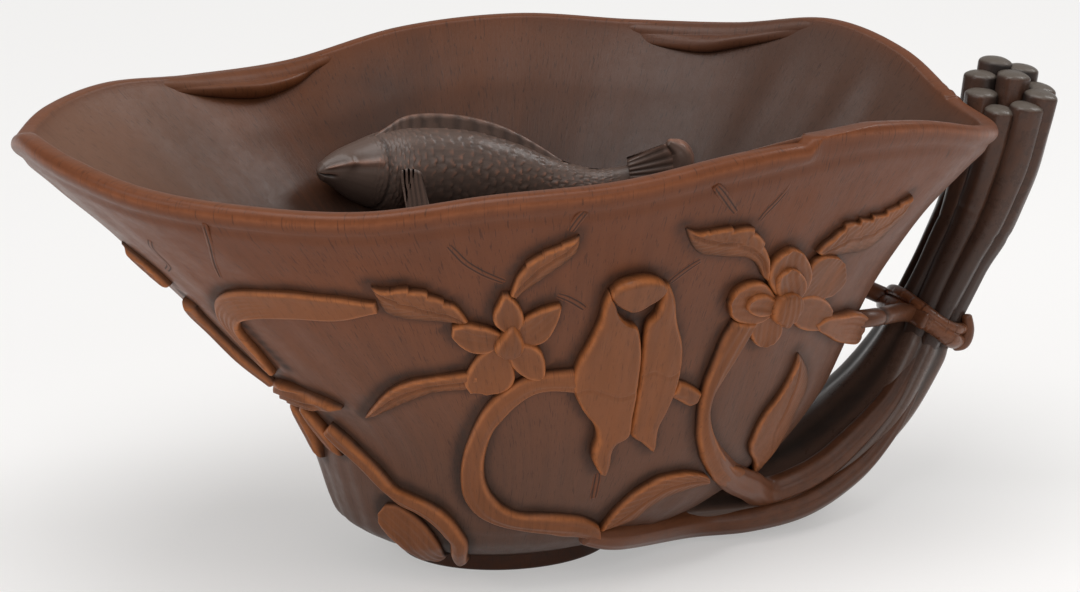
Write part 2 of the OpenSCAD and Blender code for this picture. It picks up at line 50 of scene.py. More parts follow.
camera.data.lens, camera.data.sensor_width = 166.67, 36
camera.data.clip_start, camera.data.clip_end = 0.05, 60
camera.rotation_euler = (-to_camera).to_track_quat("-Z", "Y").to_euler()
bpy.context.scene.camera = camera

# The bowl. One wall of horn, thick at the floor and thin at its rolled lip, that
# waves like the edge of a lotus leaf. It is turned out by hand with gouges, scraped
# smooth and waxed; every other form here is carved from it. Sizes are in millimetres.
MM = 0.001
cup_height, spout_reach, lip_reach, mouth_width = 66.0, 74.0, 73.5, 100.0
foot_length, foot_width, foot_height = 33.0, 28.0, 2.5
lip_wall, floor_height, floor_bend = 3.6, 26.0, 0.125
lip_rise = 0.48 * lip_wall
# how much of the reach toward the spout, the handle and the sides is gained at each level
level_shares = [0, 0.03, 0.07, 0.12, 0.20, 0.30, 0.40, 0.50, 0.60, 0.70, 0.80, 0.90, 1]
left_shares = [0, 0.10, 0.165, 0.19, 0.215, 0.245, 0.32, 0.44, 0.545, 0.655, 0.765, 0.89, 1]
right_shares = [0, 0.17, 0.29, 0.39, 0.50, 0.585, 0.635, 0.675, 0.72, 0.78, 0.85, 0.935, 1]
side_shares = [0, 0.12, 0.22, 0.30, 0.385, 0.47, 0.54, 0.61, 0.68, 0.76, 0.84, 0.92, 1]
# how the lip rises and bulges once round from the handle, and how full the inside is from its floor up
rise_shares = [0.925, 1, 1.04, 1.01, 1.01, 1.03, 1.015, 0.965, 0.97, 1, 1, 0.99,
               1.04, 1.03, 1, 0.985, 0.98, 1.01, 1.02, 1.05, 1.06, 1.03, 0.965, 0.92]
reach_shares = [1.01] + [1] * 20 + [1.01, 1.04, 1.04]
round_shares = [0, 0.62, 0.80, 0.88, 0.93, 0.96, 0.98, 0.99, 1]


def spline(a, b, d, e, f):
    """A smooth curve from b to d at the share f, with a before it and e after it."""
    return b + ((d - a) * f + (2 * a - 5 * b + 4 * d - e) * f**2 + (3 * b - a - 3 * d + e) * f**3) / 2


def along(table, x):
    """A table of even steps, read smoothly at x from 0 to 1."""
    table = np.asarray(table, float)
    n = len(table) - 1
    c = np.clip(np.asarray(x, float) * n, 0, n)
    i = np.minimum(np.floor(c).astype(int), n - 1)
    f = (c - i)[..., None] if table.ndim > 1 else c - i
    return spline(table[np.maximum(i - 1, 0)], table[i], table[i + 1], table[np.minimum(i + 2, n)], f)


def turning(table, turn):
    """A table that goes once round, read smoothly at a turn in degrees."""
    table = np.asarray(table, float)
    n = len(table)
    c = np.asarray(turn, float) / 360 * n
    i = np.floor(c).astype(int)
    return spline(table[(i - 1) % n], table[i % n], table[(i + 1) % n], table[(i + 2) % n], c - i)


def at_level(table, level):
    return along(table, np.interp(level, level_shares, np.linspace(0, 1, len(level_shares))))


def soft(x, low, high):
    """A soft step from 0 at low to 1 at high."""
    k = np.clip((x - low) / (high - low), 0, 1)
    return k * k * (3 - 2 * k)


def unit(v):
    """Vectors of length 1."""
    return v / np.maximum(np.linalg.norm(v, axis=-1, keepdims=True), 1e-9)


def size_at(level, right):
    """How far the wall reaches to the handle, where right is true, or else to the spout, and to a side."""
    share = np.where(right, at_level(right_shares, level), at_level(left_shares, level))
    reach = np.where(right, lip_reach, spout_reach) - foot_length / 2
    return (foot_length / 2 + reach * share,
            (foot_width + (mouth_width - foot_width) * at_level(side_shares, level)) / 2)


def outside(turn, level):
    """The outside of the wall at a turn in degrees from the handle and a level from foot, 0, to lip, 1."""
    turn, level = np.asarray(turn, float), np.asarray(level, float)
    t = np.radians(turn)
    long, wide = size_at(level, np.cos(t) > 0)
    bulge = 1 + (turning(reach_shares, turn) - 1) * np.abs(level) ** 3
    rise = cup_height * (1 + (turning(rise_shares, turn) - 1) * level**2) - foot_height
    return np.stack([long * np.cos(t) * bulge, wide * np.sin(t) * bulge, foot_height + rise * level], -1)


def inside(turn, level):
    """The inside of the wall, from the middle of its floor, 0, to the lip, 1."""
    turn, level = np.asarray(turn, float), np.asarray(level, float)
    # the lip's waves die away before the middle of the floor
    top = cup_height * (1 + (turning(rise_shares, turn) - 1) * soft(level, 0, 0.2))
    z = floor_height + (top - floor_height) * level
    p = outside(turn, (z - foot_height) / (top - foot_height))
    r = np.hypot(p[..., 0], p[..., 1])
    # thin at the lip, a third thicker just below it and thickest at the floor
    wall = lip_wall * (0.98 + 0.32 * soft(1 - level, 0, 0.2) + 0.9 * (1 - level))
    near = np.clip(level / floor_bend, 0, 1)
    fit = (r - wall) / r * np.where(near < 1, round_shares[1] * (0.7 * np.sqrt(near) + 0.3 * near),
                                    along(round_shares, level))
    return np.stack([p[..., 0] * fit, p[..., 1] * fit, z], -1)


def facing(skin, turn, level):
    """The way out of the wall at each place, away from the horn."""
    a = skin(turn + 0.5, level) - skin(turn - 0.5, level)
    b = skin(turn, level + 0.004) - skin(turn, level - 0.004)
    return unit(np.cross(a, b) * (1 if skin is outside else -1))


def points_of(piece):
    flat = np.empty(len(piece.data.vertices) * 3)
    piece.data.vertices.foreach_get("co", flat)
    return flat.reshape(-1, 3)


def put_marks(piece, marks):
    """Values for the finish at each point: how high, worn and lit by painted highlight, hollow and darkened by
    painted shade, or cut the horn is there, and its grain.
    """
    for mark, values in marks.items():
        kind, field = ("FLOAT_VECTOR", "vector") if values.ndim > 1 else ("FLOAT", "value")
        layer = piece.data.attributes.new(mark, kind, "POINT")
        layer.data.foreach_set(field, values.astype(float).ravel())


def bent_sheet(name, cols, rows, place):
    """A grid laid where place(across, along) says, with marks for the finish, and closed underneath."""
    bpy.ops.object.select_all(action="DESELECT")
    bpy.ops.mesh.primitive_grid_add(x_subdivisions=cols, y_subdivisions=rows, size=2)
    piece = bpy.context.object
    piece.name = piece.data.name = name
    flat = points_of(piece)
    where, marks = place(flat[:, 0], flat[:, 1])
    piece.data.vertices.foreach_set("co", (where * MM).ravel())
    put_marks(piece, marks)
    bpy.ops.object.mode_set(mode="EDIT")
    bpy.ops.mesh.select_all(action="SELECT")
    bpy.ops.mesh.remove_doubles(threshold=2e-6)
    bpy.ops.mesh.fill_holes(sides=0)
    bpy.ops.mesh.select_all(action="SELECT")
    bpy.ops.mesh.normals_make_consistent(inside=False)
    bpy.ops.object.mode_set(mode="OBJECT")
    bpy.ops.object.shade_smooth()
    return piece


def grain_at(turn, level, shift=0.0):
    """Where a place lies in the horn's own fibres, in centimetres: they run from foot to lip."""
    t = np.radians(turn)
    return np.stack([4.6 * np.cos(t) + shift, 4.6 * np.sin(t), 6.6 * level + 0 * t], -1)


def tool_marks(turn, level):
    """The slight unevenness that a scraper leaves, in millimetres."""
    t = np.radians(turn)
    return (0.10 * np.sin(9 * t + 5 * level) * np.sin(7 * level + 2 * t)
            + 0.07 * np.sin(23 * t - 3 * level + 1) * np.sin(13 * level)
            + 0.05 * np.sin(41 * t + 9 * level))


# Horn: warm red brown where light passes into it, darker in the hollows with painted shade and
# settled wax and dirt, and orange brown where handling has worn the high places, with painted
# highlights on lit edges. Long fibres run up from the foot and show as fine dashes near the lip.


def horn(name, body, worn, deep, rough=0.42, fibre=1.0, coat=0.10, within=None, floor_shade=None, cut=None):
    """A waxed horn finish. body, worn and deep are its colours on the flat, the high places and the hollows; worn
    also paints highlights, and deep paints shade as well as grime.

    within and bottom colour the inside of the bowl by the lip and, as painted shade, at its floor; cut colours a
    sawn end.
    """
    stuff = bpy.data.materials.new(name)
    stuff.use_nodes = True
    nodes, wires = stuff.node_tree.nodes, stuff.node_tree.links
    shader = nodes["Principled BSDF"]
    shader.inputs["Coat Weight"].default_value = coat
    shader.inputs["Coat Roughness"].default_value = 0.28
    shader.inputs["Specular IOR Level"].default_value = 0.18

    def mark(label, out="Fac"):
        n = nodes.new("ShaderNodeAttribute")
        n.attribute_name = label
        return n.outputs[out]

    def noise(source, stretch, detail=4.0, roughness=0.55):
        m = nodes.new("ShaderNodeMapping")
        m.inputs["Scale"].default_value = stretch
        wires.new(source, m.inputs["Vector"])
        n = nodes.new("ShaderNodeTexNoise")
        n.inputs["Scale"].default_value = 1.0
        n.inputs["Detail"].default_value = detail
        n.inputs["Roughness"].default_value = roughness
        wires.new(m.outputs["Vector"], n.inputs["Vector"])
        return n.outputs["Fac"]

    def between(source, low, high, out_low=0.0, out_high=1.0):
        n = nodes.new("ShaderNodeMapRange")
        n.inputs["From Min"].default_value, n.inputs["From Max"].default_value = low, high
        n.inputs["To Min"].default_value, n.inputs["To Max"].default_value = out_low, out_high
        wires.new(source, n.inputs["Value"])
        return n.outputs["Result"]

    def maths(kind, a, b, c=None):
        n = nodes.new("ShaderNodeMath")
        n.operation = kind
        for socket, value in zip(n.inputs, (a, b, c)):
            if value is None:
                continue
            if isinstance(value, (int, float)):
                socket.default_value = value
            else:
                wires.new(value, socket)
        return n.outputs["Value"]

    def blend(first, second, share):
        n = nodes.new("ShaderNodeMix")
        n.data_type = "RGBA"
        for socket, value in ((n.inputs[6], first), (n.inputs[7], second), (n.inputs[0], share)):
            if isinstance(value, tuple):
                socket.default_value = (*value, 1)
            elif isinstance(value, (int, float)):
                socket.default_value = value
            else:
                wires.new(value, socket)
        return n.outputs[2]

    # bands, fibres and dashes are drawn out along the grain; patches, mottle and pores lie anywhere
    grain = mark("grain", "Vector")
    here = nodes.new("ShaderNodeTexCoord").outputs["Object"]
    broad = noise(grain, (7.0, 7.0, 0.35), 5.0, 0.6)
    fine = noise(grain, (46.0, 46.0, 2.2), 3.0, 0.6)
    dashes = noise(grain, (62.0, 62.0, 5.5), 2.0, 0.5)
    patches = noise(here, (38.0, 38.0, 52.0), 3.0, 0.5)
    mottle = noise(here, (620.0, 620.0, 620.0), 4.0, 0.65)
    pores = noise(here, (2600.0, 2600.0, 2600.0), 2.0, 0.5)
    dark, pale, palest = [tuple(share * c for c in body) for share in (0.84, 1.10, 1.28)]
    colour = blend(dark, pale, between(broad, 0.36, 0.64))
    colour = blend(colour, palest, between(patches, 0.42, 0.68, 0.0, 0.8))
    colour = blend(colour, dark, between(fine, 0.52, 0.74, 0.0, 0.40 * fibre))
    # the worn colour on the marked edges: wear from handling, and painted highlights where light catches
    colour = blend(colour, worn, maths("MULTIPLY", mark("edge"), between(mottle, 0.30, 0.60, 0.35, 0.95)))
    if within is not None:
        # dull low on the outside and warm under the lip; inside, painted shade by the handle and toward the floor,
        # and a painted sheen at the spout
        dull, warm, shade_by_handle, sheen_at_spout = ((0.082, 0.047, 0.034), (0.112, 0.032, 0.011),
                                           (0.052, 0.033, 0.026), (0.175, 0.092, 0.058))
        colour = blend(colour, dull, between(mark("low"), 0.10, 0.80, 0.0, 0.66))
        colour = blend(colour, warm, between(mark("low"), 0.45, 0.06, 0.0, 0.62))
        sides = nodes.new("ShaderNodeSeparateXYZ")
        wires.new(here, sides.inputs["Vector"])
        inner = blend(within, floor_shade, between(mark("low"), 0.02, 0.55))
        inner = blend(inner, tuple(0.7 * c for c in floor_shade), between(patches, 0.45, 0.7, 0.0, 0.6))
        inner = blend(inner, tuple(1.3 * c for c in within), between(broad, 0.5, 0.72, 0.0, 0.16))
        inner = blend(inner, shade_by_handle, between(sides.outputs["X"], 0.008, 0.040, 0.0, 0.55))
        inner = blend(inner, sheen_at_spout, between(sides.outputs["X"], -0.022, -0.060, 0.0, 0.60))
        colour = blend(colour, inner, mark("within"))
    colour = blend(colour, tuple(0.45 * c for c in deep),
                   maths("MULTIPLY", between(dashes, 0.60, 0.68), 0.42 * fibre))
    # the deep colour in the marked hollows and creases: painted shade, with some settled grime
    colour = blend(colour, deep, maths("MULTIPLY", mark("shade_and_grime"), between(mottle, 0.25, 0.6, 1.0, 0.78)))
    if cut is not None:
        colour = blend(colour, cut, mark("cut"))
    wires.new(colour, shader.inputs["Base Color"])
    # dull in the hollows, polished on the worn edges
    gloss = maths("ADD", between(mottle, 0.3, 0.7, rough - 0.06, rough + 0.07),
                  maths("MULTIPLY", mark("shade_and_grime"), 0.22))
    gloss = maths("ADD", gloss, between(patches, 0.35, 0.65, -0.03, 0.05))
    gloss = maths("ADD", gloss, maths("MULTIPLY", mark("edge"), -0.10))
    wires.new(gloss, shader.inputs["Roughness"])
    # a low relief of fibres and pores
    height = maths("MULTIPLY_ADD", fine, 0.35 * fibre, maths("MULTIPLY", mottle, 0.5))
    height = maths("MULTIPLY_ADD", broad, 0.3, height)
    height = maths("MULTIPLY_ADD", pores, 0.12, height)
    bump = nodes.new("ShaderNodeBump")
    bump.inputs["Strength"].default_value = 0.32
    bump.inputs["Distance"].default_value = 0.00022
    wires.new(height, bump.inputs["Height"])
    wires.new(bump.outputs["Normal"], shader.inputs["Normal"])
    return stuff


wall_horn = horn("waxed_horn_wall", body=(0.150, 0.0465, 0.016), worn=(0.400, 0.130, 0.048),
                 deep=(0.016, 0.012, 0.010), rough=0.41, coat=0.08,
                 within=(0.106, 0.034, 0.012), floor_shade=(0.026, 0.014, 0.010))


def finish(piece, stuff, slot, *nodes):
    """Gives a piece its horn, and the nodes that it stands in for. slot is not used."""
    piece.data.materials.clear()
    piece.data.materials.append(stuff)
    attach(piece, "root")
    if nodes:
        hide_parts(*nodes)
    return piece


# Places on the wall are read off the photograph: each is where the line of sight through a
# pixel of its 1080 by 592 frame meets the bowl.
frame_x, frame_y, focal = 540, 296, 5000
toward_eye = np.array(to_camera)
view_right = np.cross([0, 0, 1.0], toward_eye)
view_right /= np.linalg.norm(view_right)
view_up = np.cross(toward_eye, view_right)
eye = (np.array(aim) + toward_eye * camera_far) / MM


def seen(p):
    """The pixel at which a place in millimetres shows."""
    d = p - eye
    far = -(d @ toward_eye)
    return np.stack([frame_x + focal * (d @ view_right) / far, frame_y - focal * (d @ view_up) / far], -1)


net = {}
net_turn, net_level = [k.ravel() for k in np.meshgrid(np.arange(0, 360, 1.0), np.linspace(0.02, 1, 99))]
for skin in (outside, inside):
    places = skin(net_turn, net_level)
    toward = ((eye - places) * facing(skin, net_turn, np.clip(net_level, 0.02, 0.99))).sum(-1) > 0
    net[skin] = (seen(places)[toward], net_turn[toward], net_level[toward])


def spots(pixels, skin=outside):
    """[turn, level] on the wall for each pixel: the nearest place of the net, then small steps."""
    found = []
    for p in np.asarray(pixels, float):
        marks, turns, levels = net[skin]
        k = int(np.argmin(((marks - p) ** 2).sum(-1)))
        at = np.array([turns[k], levels[k]])
        for _ in range(6):
            here = seen(skin(at[0], at[1]))
            da = (seen(skin(at[0] + 0.2, at[1])) - here) / 0.2
            db = (seen(skin(at[0], at[1] + 0.002)) - here) / 0.002
            step = np.linalg.lstsq(np.stack([da, db], -1), p - here, rcond=1e-3)[0]
            at = at + np.clip(step, [-2, -0.03], [2, 0.03])
            at[1] = min(max(at[1], 0.01), 1.0)
        found.append(at)
    return np.array(found)


# The bowl's sheet runs up the outside, over the half round of the lip and down the inside to
# the middle of the floor. The front lip steps up where a fold ends in a nick, and it is
# ragged beside the handle.
lip_from, lip_to, roll_from, roll_to = 0.60, 0.68, 0.652, 0.720  # shares of the sheet
lip_top = (lip_from + lip_to) / 2
box_low, box_high = [-73.95, -49.95, 0], [89.9, 49.95, 71.7]  # the bowl stays just inside the solids' box
step_turn = spots([(815, 160)])[0, 0]
ragged_turn = spots([(946, 86)], inside)[0, 0]


def down_inside(v):
    """The level on the inside at a share of the sheet, with finer steps near the middle of the floor."""
    level = 1 - np.clip((v - lip_to) / (1 - lip_to), 0, 1) ** 0.9
    return level * np.minimum(0.15 + 2.8 * level, 1)


def scraped_inside(turn, level):
    """The inside as it is finished: shallow flutes run up to the lip beside the handle."""
    t = np.radians(turn)
    side = np.degrees(np.arctan2(np.sin(t), np.cos(t)))
    flute = np.exp(-((side - 14) / 22) ** 2) * soft(level, 0.45, 0.95) * (
        0.30 * np.sin(t * 25) + 0.16 * np.sin(t * 43 + 1))
    depth = (flute + 0.4 * tool_marks(turn + 40, level)) * soft(level, 0.05, 0.4)
    return inside(turn, level) + facing(inside, turn, np.clip(level, 0.02, 0.99)) * depth[:, None]


def lip_round(turn, angle, ragged):
    """The lip's half round, from the outside's edge at angle 0 to the inside's at half a turn."""
    a, b = outside(turn, 1), inside(turn, 1)
    swing = np.sign(np.cos(angle)) * np.abs(np.cos(angle)) ** 0.65 * (1 + 0.2 * ragged)
    p = (a + b) / 2 + (a - b) / 2 * swing[:, None]
    p[:, 2] += (lip_rise + ragged) * np.sin(angle) ** 0.8
    return p


def bowl_skin(across, up):
    u, v = (across + 1) / 2, (up + 1) / 2
    # more columns on the photographed side
    turn = (u + 0.045 * np.sin(2 * np.pi * u)) * 360
    level, inner_level = np.clip(v / lip_from, 0, 1) ** 0.93, down_inside(v)
    # the outside, scraped, with a shallow groove under the lip
    groove = 0.30 * np.exp(-((level - 0.968) / 0.011) ** 2)
    marks = tool_marks(turn, level) * soft(level, 0, 0.1) * (1 - soft(level, 0.9, 0.96))
    outer = outside(turn, level) + facing(outside, turn, np.clip(level, 0.01, 0.995)) * (marks - groove)[:, None]
    # the lip
    ragged = np.exp(-((turn - ragged_turn) / 3.2) ** 2) * (0.5 + 0.5 * np.sin(np.radians(turn) * 190)) ** 2
    lip = lip_round(turn, np.pi * np.clip((v - lip_from) / (lip_to - lip_from), 0, 1), ragged)
    where = np.where((v <= lip_from)[:, None], outer,
                     np.where((v < lip_to)[:, None], lip, scraped_inside(turn, inner_level)))
    # from its top it rolls softly into the inside
    t = np.clip((v - roll_from) / (roll_to - roll_from), 0, 1)[:, None]
    roll_angle = np.full(len(v), np.pi * (roll_from - lip_from) / (lip_to - lip_from))
    roll = ((1 - t) ** 2 * lip_round(turn, roll_angle, 0 * turn) + 2 * t * (1 - t) * inside(turn, 1)
            + t**2 * scraped_inside(turn, np.full(len(v), down_inside(roll_to))))
    where = np.where(((v > roll_from) & (v < roll_to))[:, None], roll, where)
    # the step up at the nick
    past = turn - step_turn
    step = np.where(past > 0, 1.5 * np.exp(-np.clip(past, 0, 60) / 9),
                    -0.9 * np.exp(-np.clip(-past, 0, 60) / 5))
    near_lip = np.where(v <= lip_from, soft(level, 0.955, 1.0) ** 2,
                        np.where(v < lip_to, 1.0, soft(inner_level, 0.88, 1.0)))
    where[:, 2] += step * soft(np.abs(past), 0.0, 0.35) * near_lip
    grain = grain_at(turn, np.where(v > lip_top, inner_level - 0.9 * np.clip(lip_to - v, 0, 1),
                                    level - 0.9 * np.clip(v - lip_from, 0, 1)))
    grain[:, :2] *= np.where(v > lip_to, np.clip(inner_level / 0.22, 0.02, 1), 1)[:, None]
    # the lip's edge mark: a painted highlight along its outer corner, and a broad band of wear over its top
    return np.clip(where, box_low, box_high), {
        "grain": grain, "within": soft(v, 0.612, 0.69), "low": 1 - np.where(v > lip_top, inner_level, level),
        "edge": 0.85 * np.exp(-((v - 0.6035) / 0.0050) ** 2) + 0.20 * np.exp(-((v - 0.635) / 0.03) ** 2)}


bowl = finish(bent_sheet("carved_bowl", 440, 214, bowl_skin), wall_horn, "horn_wall", "cup_wall")

# The folds of the leaf's edge. Where the lip turns in over the mouth the carver left a
# flap, undercut below and running into the lip above.
key_depth = 0.9
outlines = []  # the foot of every carved edge, for the dirt and painted shadow beside it


def over_lip(turn, level):
    """The inside of the wall and, past level 1, on over the top of the lip."""
    a, b = outside(turn, 1), inside(turn, 1)
    angle = np.pi - np.clip((level - 1) / 0.05, 0, 1) * np.pi / 2
    q = (a + b) / 2 + (a - b) / 2 * np.cos(angle)[..., None]
    q[..., 2] += lip_rise * np.sin(angle)
    return np.where((level > 1)[..., None], q, inside(turn, np.minimum(level, 1)))


def lengths(points):
    """How far along a line each of its points lies."""
    return np.concatenate([[0], np.cumsum(np.linalg.norm(np.diff(points, axis=0), axis=1))])


def at_share(line, u):
    """The places at the share u along a line of evenly spaced points."""
    steps = np.arange(len(line))
    return np.stack([np.interp(u * steps[-1], steps, column) for column in line.T], -1)


def even(line, count, skin=outside):
    """A line of [turn, level] smoothed and set out at even distances along the wall, and its length."""
    dense = along(np.asarray(line, float), np.linspace(0, 1, 240))
    run = lengths(skin(dense[:, 0], dense[:, 1]))
    want = np.linspace(0, run[-1], count)
    return np.stack([np.interp(want, run, dense[:, 0]), np.interp(want, run, dense[:, 1])], -1), run[-1]


def carve(name, left, right, lift, form, cols=26, rows=70, round_off=0.5, skin=outside, undercut=0.12,
          flat_root=False, one_edge=False, inner=0.0):
    """A form carved on the wall between two edge lines from its root to its tip.

    form(u, s, half, length) is its height as a share of lift, at u along it and s across it.
    """
    (a, run_a), (b, run_b) = even(left, 200, skin), even(right, 200, skin)
    length = (run_a + run_b) / 2

    def place(x, y):
        # the sheet's outermost ring is a skirt, turned down into the wall and drawn in under the edge
        x, y = x / (1 - 2 / cols), y / (1 - 2 / rows)
        skirt = (np.abs(x) > 1.0001) | (np.abs(y) > 1.0001)
        s, u = np.clip(x, -1, 1), (np.clip(y, -1, 1) + 1) / 2
        # more rows and columns near the edges
        s = np.sign(s) * (1 - (1 - np.abs(s)) ** 1.35)
        u = 0.35 * (0.5 - 0.5 * np.cos(np.pi * u)) + 0.65 * u
        at_a, at_b = at_share(a, u), at_share(b, u)
        half = np.linalg.norm(skin(at_a[:, 0], at_a[:, 1]) - skin(at_b[:, 0], at_b[:, 1]), axis=-1) / 2
        pull = np.where(skirt & (half > 0.3), 1 - undercut * np.minimum(1, 3.2 / np.maximum(half, 0.5)), 1)
        share = ((1 + s * pull) / 2)[:, None]
        at = at_a * (1 - share) + at_b * share
        from_side = half * (1 - (s if one_edge else np.abs(s)))
        d = np.minimum(from_side, (1 - u) * length if flat_root else np.minimum(u, 1 - u) * length)
        rim = np.sqrt(1 - (1 - np.clip(d / round_off, 0, 1)) ** 2)
        h = lift * (0.42 + 0.58 * rim) * form(u, s, half, length) * (0.45 + 0.55 * soft(half, 0.0, 0.9))
        h = np.where(skirt, -key_depth, h)
        n = facing(skin, at[:, 0], np.clip(at[:, 1], 0.01, 1.046 if skin is over_lip else 0.99))
        where = skin(at[:, 0], at[:, 1]) + n * h[:, None]
        where[:, 2] = np.maximum(where[:, 2], 0.25)
        if skin is outside:
            outlines.extend(where[skirt])
        # painted shade and grime on a form's low parts by the wall and under a flap's free edge; wear and a painted
        # highlight on its rounded rim
        return where, {
            "grain": grain_at(at[:, 0], at[:, 1], 0.7),
            "shade_and_grime": 0.9 * (skirt & (x > 0)) if one_edge else 1 - soft(h / lift, 0.10, 0.50),
            "edge": np.exp(-((d - 0.20) / 0.34) ** 2) * soft(h / lift, 0.3, 0.8) * (0.55 if one_edge else 0.95),
            "within": np.full(len(h), inner)}

    return bent_sheet(name, cols, rows, place)


def flap_form(u, s, half, length):
    # it leaves the lip level with it and swells to its undercut edge
    return np.sin(np.pi * np.clip(u, 0, 1)) ** 1.25 * np.sin(np.pi / 2 * np.clip((s + 1) / 1.7, 0, 1)) * 1.2 - 0.05


def fold(side, edge, lip_level, depth, rows, inner):
    lip_line = np.stack([edge[:, 0], np.full(len(edge), lip_level)], -1)
    flap = carve("carved_rim_fold_" + side, lip_line, edge, depth, flap_form, cols=44, rows=rows,
                 skin=over_lip, round_off=1.5, undercut=0.3, one_edge=True, inner=inner)
    finish(flap, wall_horn, "horn_wall", "rim_fold_" + side)


fold("spout", spots([(163, 92), (185, 95), (213, 100), (234, 102), (255, 102), (272, 98), (297, 86),
                     (318, 69), (335, 61)], inside), 1.045, 2.7, 110, 0.75)
fold("back", spots([(627, 33), (648, 44), (680, 52), (707, 55), (734, 51), (774, 42), (812, 33)], inside),
     1.045, 2.0, 110, 0.75)
fold("front", np.array([[284, 0.995], [288, 0.945], [293, 0.90], [299, 0.88], [305, 0.885], [311, 0.92],
                        [315, 0.96], [319, 0.995]]), 1.04, 1.8, 90, 0.6)

# The petals of the two blossoms. Each is a low pad with a rounded edge, a little hollow
# along its middle and lifted at the tip, undercut so that it throws a thin shadow.
relief_horn = horn("waxed_horn_relief", body=(0.174, 0.059, 0.021), worn=(0.420, 0.140, 0.043),
                   deep=(0.016, 0.012, 0.010), rough=0.46, fibre=0.7, coat=0.06)


def relief(node, left, right, lift, form, **more):
    """A form carved on the outside between two lines of [turn, level]."""
    return finish(carve("carved_" + node, left, right, lift, form, **more), relief_horn, "horn_relief", node)


def joined(name, pieces):
    """Several carved forms as one piece."""
    bpy.ops.object.select_all(action="DESELECT")
    for piece in pieces:
        piece.select_set(True)
    bpy.context.view_layer.objects.active = pieces[0]
    bpy.ops.object.join()
    pieces[0].name = pieces[0].data.name = name
    return pieces[0]


def cluster(node, pieces):
    """Several carved forms as the one piece of a node."""
    return finish(joined("carved_" + node, pieces), relief_horn, "horn_relief", node)


def petal_form(u, s, half, length):
    hollow = 0.20 * np.exp(-(s / 0.55) ** 2) * soft(u, 0.1, 0.5)
    veins = 0.035 * np.sin(s * half * 5.2 + 1.3 * u) * soft(u, 0.1, 0.4)
    return 0.72 + 0.30 * u - hollow + veins


def petal(node, left, right, lift):
    relief(node, spots(left), spots(right), lift, petal_form, cols=30, rows=44, flat_root=True)


petal("spray_petal_1", [(508, 331), (495, 322), (492, 312), (497, 300), (502, 291)],
      [(512, 331), (521, 322), (523, 313), (518, 301), (508, 291)], 1.6)
petal("spray_petal_2", [(514, 331), (521, 317), (533, 309), (546, 304), (559, 301)],
      [(514, 338), (528, 343), (544, 338), (554, 324), (561, 304)], 1.3)
petal("spray_petal_3", [(514, 337), (530, 340), (539, 345), (544, 358), (543, 375)],
      [(508, 341), (508, 356), (516, 367), (527, 373), (541, 376)], 1.9)
petal("spray_petal_4", [(503, 341), (488, 349), (473, 349), (460, 342), (451, 332)],
      [(503, 331), (489, 325), (476, 322), (464, 320), (452, 323)], 1.4)
petal("spray_petal_5", [(508, 342), (513, 362), (514, 377), (505, 387), (486, 390)],
      [(500, 340), (481, 350), (469, 365), (464, 379), (470, 389)], 1.3)
petal("lotus_petal_2", [(790, 303), (800, 284), (808, 262), (820, 253), (835, 254)],
      [(793, 307), (808, 298), (827, 293), (840, 280), (840, 259)], 1.3)
petal("lotus_petal_5", [(776, 312), (779, 326), (773, 338), (764, 343), (759, 344)],
      [(766, 305), (749, 314), (746, 327), (750, 339), (757, 344)], 1.25)
petal("lotus_petal_4", [(784, 312), (794, 325), (810, 328), (822, 321), (826, 311)],
      [(788, 298), (802, 292), (815, 292), (824, 299), (827, 308)], 1.5)
for node, outer_left, outer_right, inner_left, inner_right in (
        ("lotus_petal_1", [(781, 300), (769, 288), (764, 272), (772, 255), (788, 245)],
         [(786, 300), (802, 288), (808, 270), (801, 251), (791, 245)],
         [(778, 300), (771, 288), (771, 274), (778, 266), (786, 263)],
         [(788, 300), (798, 290), (801, 277), (794, 266), (787, 263)]),
        ("lotus_petal_3", [(772, 309), (756, 320), (740, 320), (728, 314), (726, 300)],
         [(774, 296), (762, 280), (747, 279), (733, 287), (727, 298)],
         [(773, 306), (760, 312), (748, 310), (741, 304)], [(774, 297), (762, 289), (750, 290), (742, 298)])):
    cluster(node, [carve("outer", spots(outer_left), spots(outer_right), 1.5, petal_form, cols=30, rows=44,
                         flat_root=True),
                   carve("inner", spots(inner_left), spots(inner_right), 2.0, petal_form, cols=26, rows=36,
                         flat_root=True)])

# The hearts: the spray's is a pointed bud leaning up, the lotus's an egg cut through
# with fine lines.


def bud_form(u, s, half, length):
    return (0.80 + 0.34 * np.sin(np.pi * np.clip(u * 0.9 + 0.08, 0, 1)) - 0.12 * s * s
            + 0.03 * np.sin(s * half * 6))


for node, left, right, lift in (
        ("spray_heart", [(505, 351), (496, 348), (493, 341), (501, 329), (512, 318)],
         [(512, 351), (521, 346), (523, 338), (519, 328), (513, 318)], 2.3),
        ("lotus_heart", [(775, 321), (766, 314), (766, 302), (772, 291), (784, 286)],
         [(778, 321), (785, 315), (793, 302), (795, 291), (787, 286)], 2.6)):
    relief(node, spots(left), spots(right), lift, bud_form, cols=30, rows=44, round_off=1.1)

# The leaves beside the blossoms: thin blades with a saw edge on one side, a cut midrib
# and fine side veins.


def leaf_form(u, s, half, length):
    rib = 0.26 * np.exp(-((s * half) / 0.26) ** 2) * soft(u, 0.0, 0.1) * (1 - soft(u, 0.9, 1.0))
    ridge = 0.10 * np.exp(-((np.abs(s * half) - 0.55) / 0.3) ** 2)
    veins = 0.045 * np.sin((u * length - np.abs(s) * half * 1.5) * 3.4) * soft(np.abs(s * half), 0.4, 1.2)
    return 0.90 - rib + ridge + veins - 0.18 * s * s


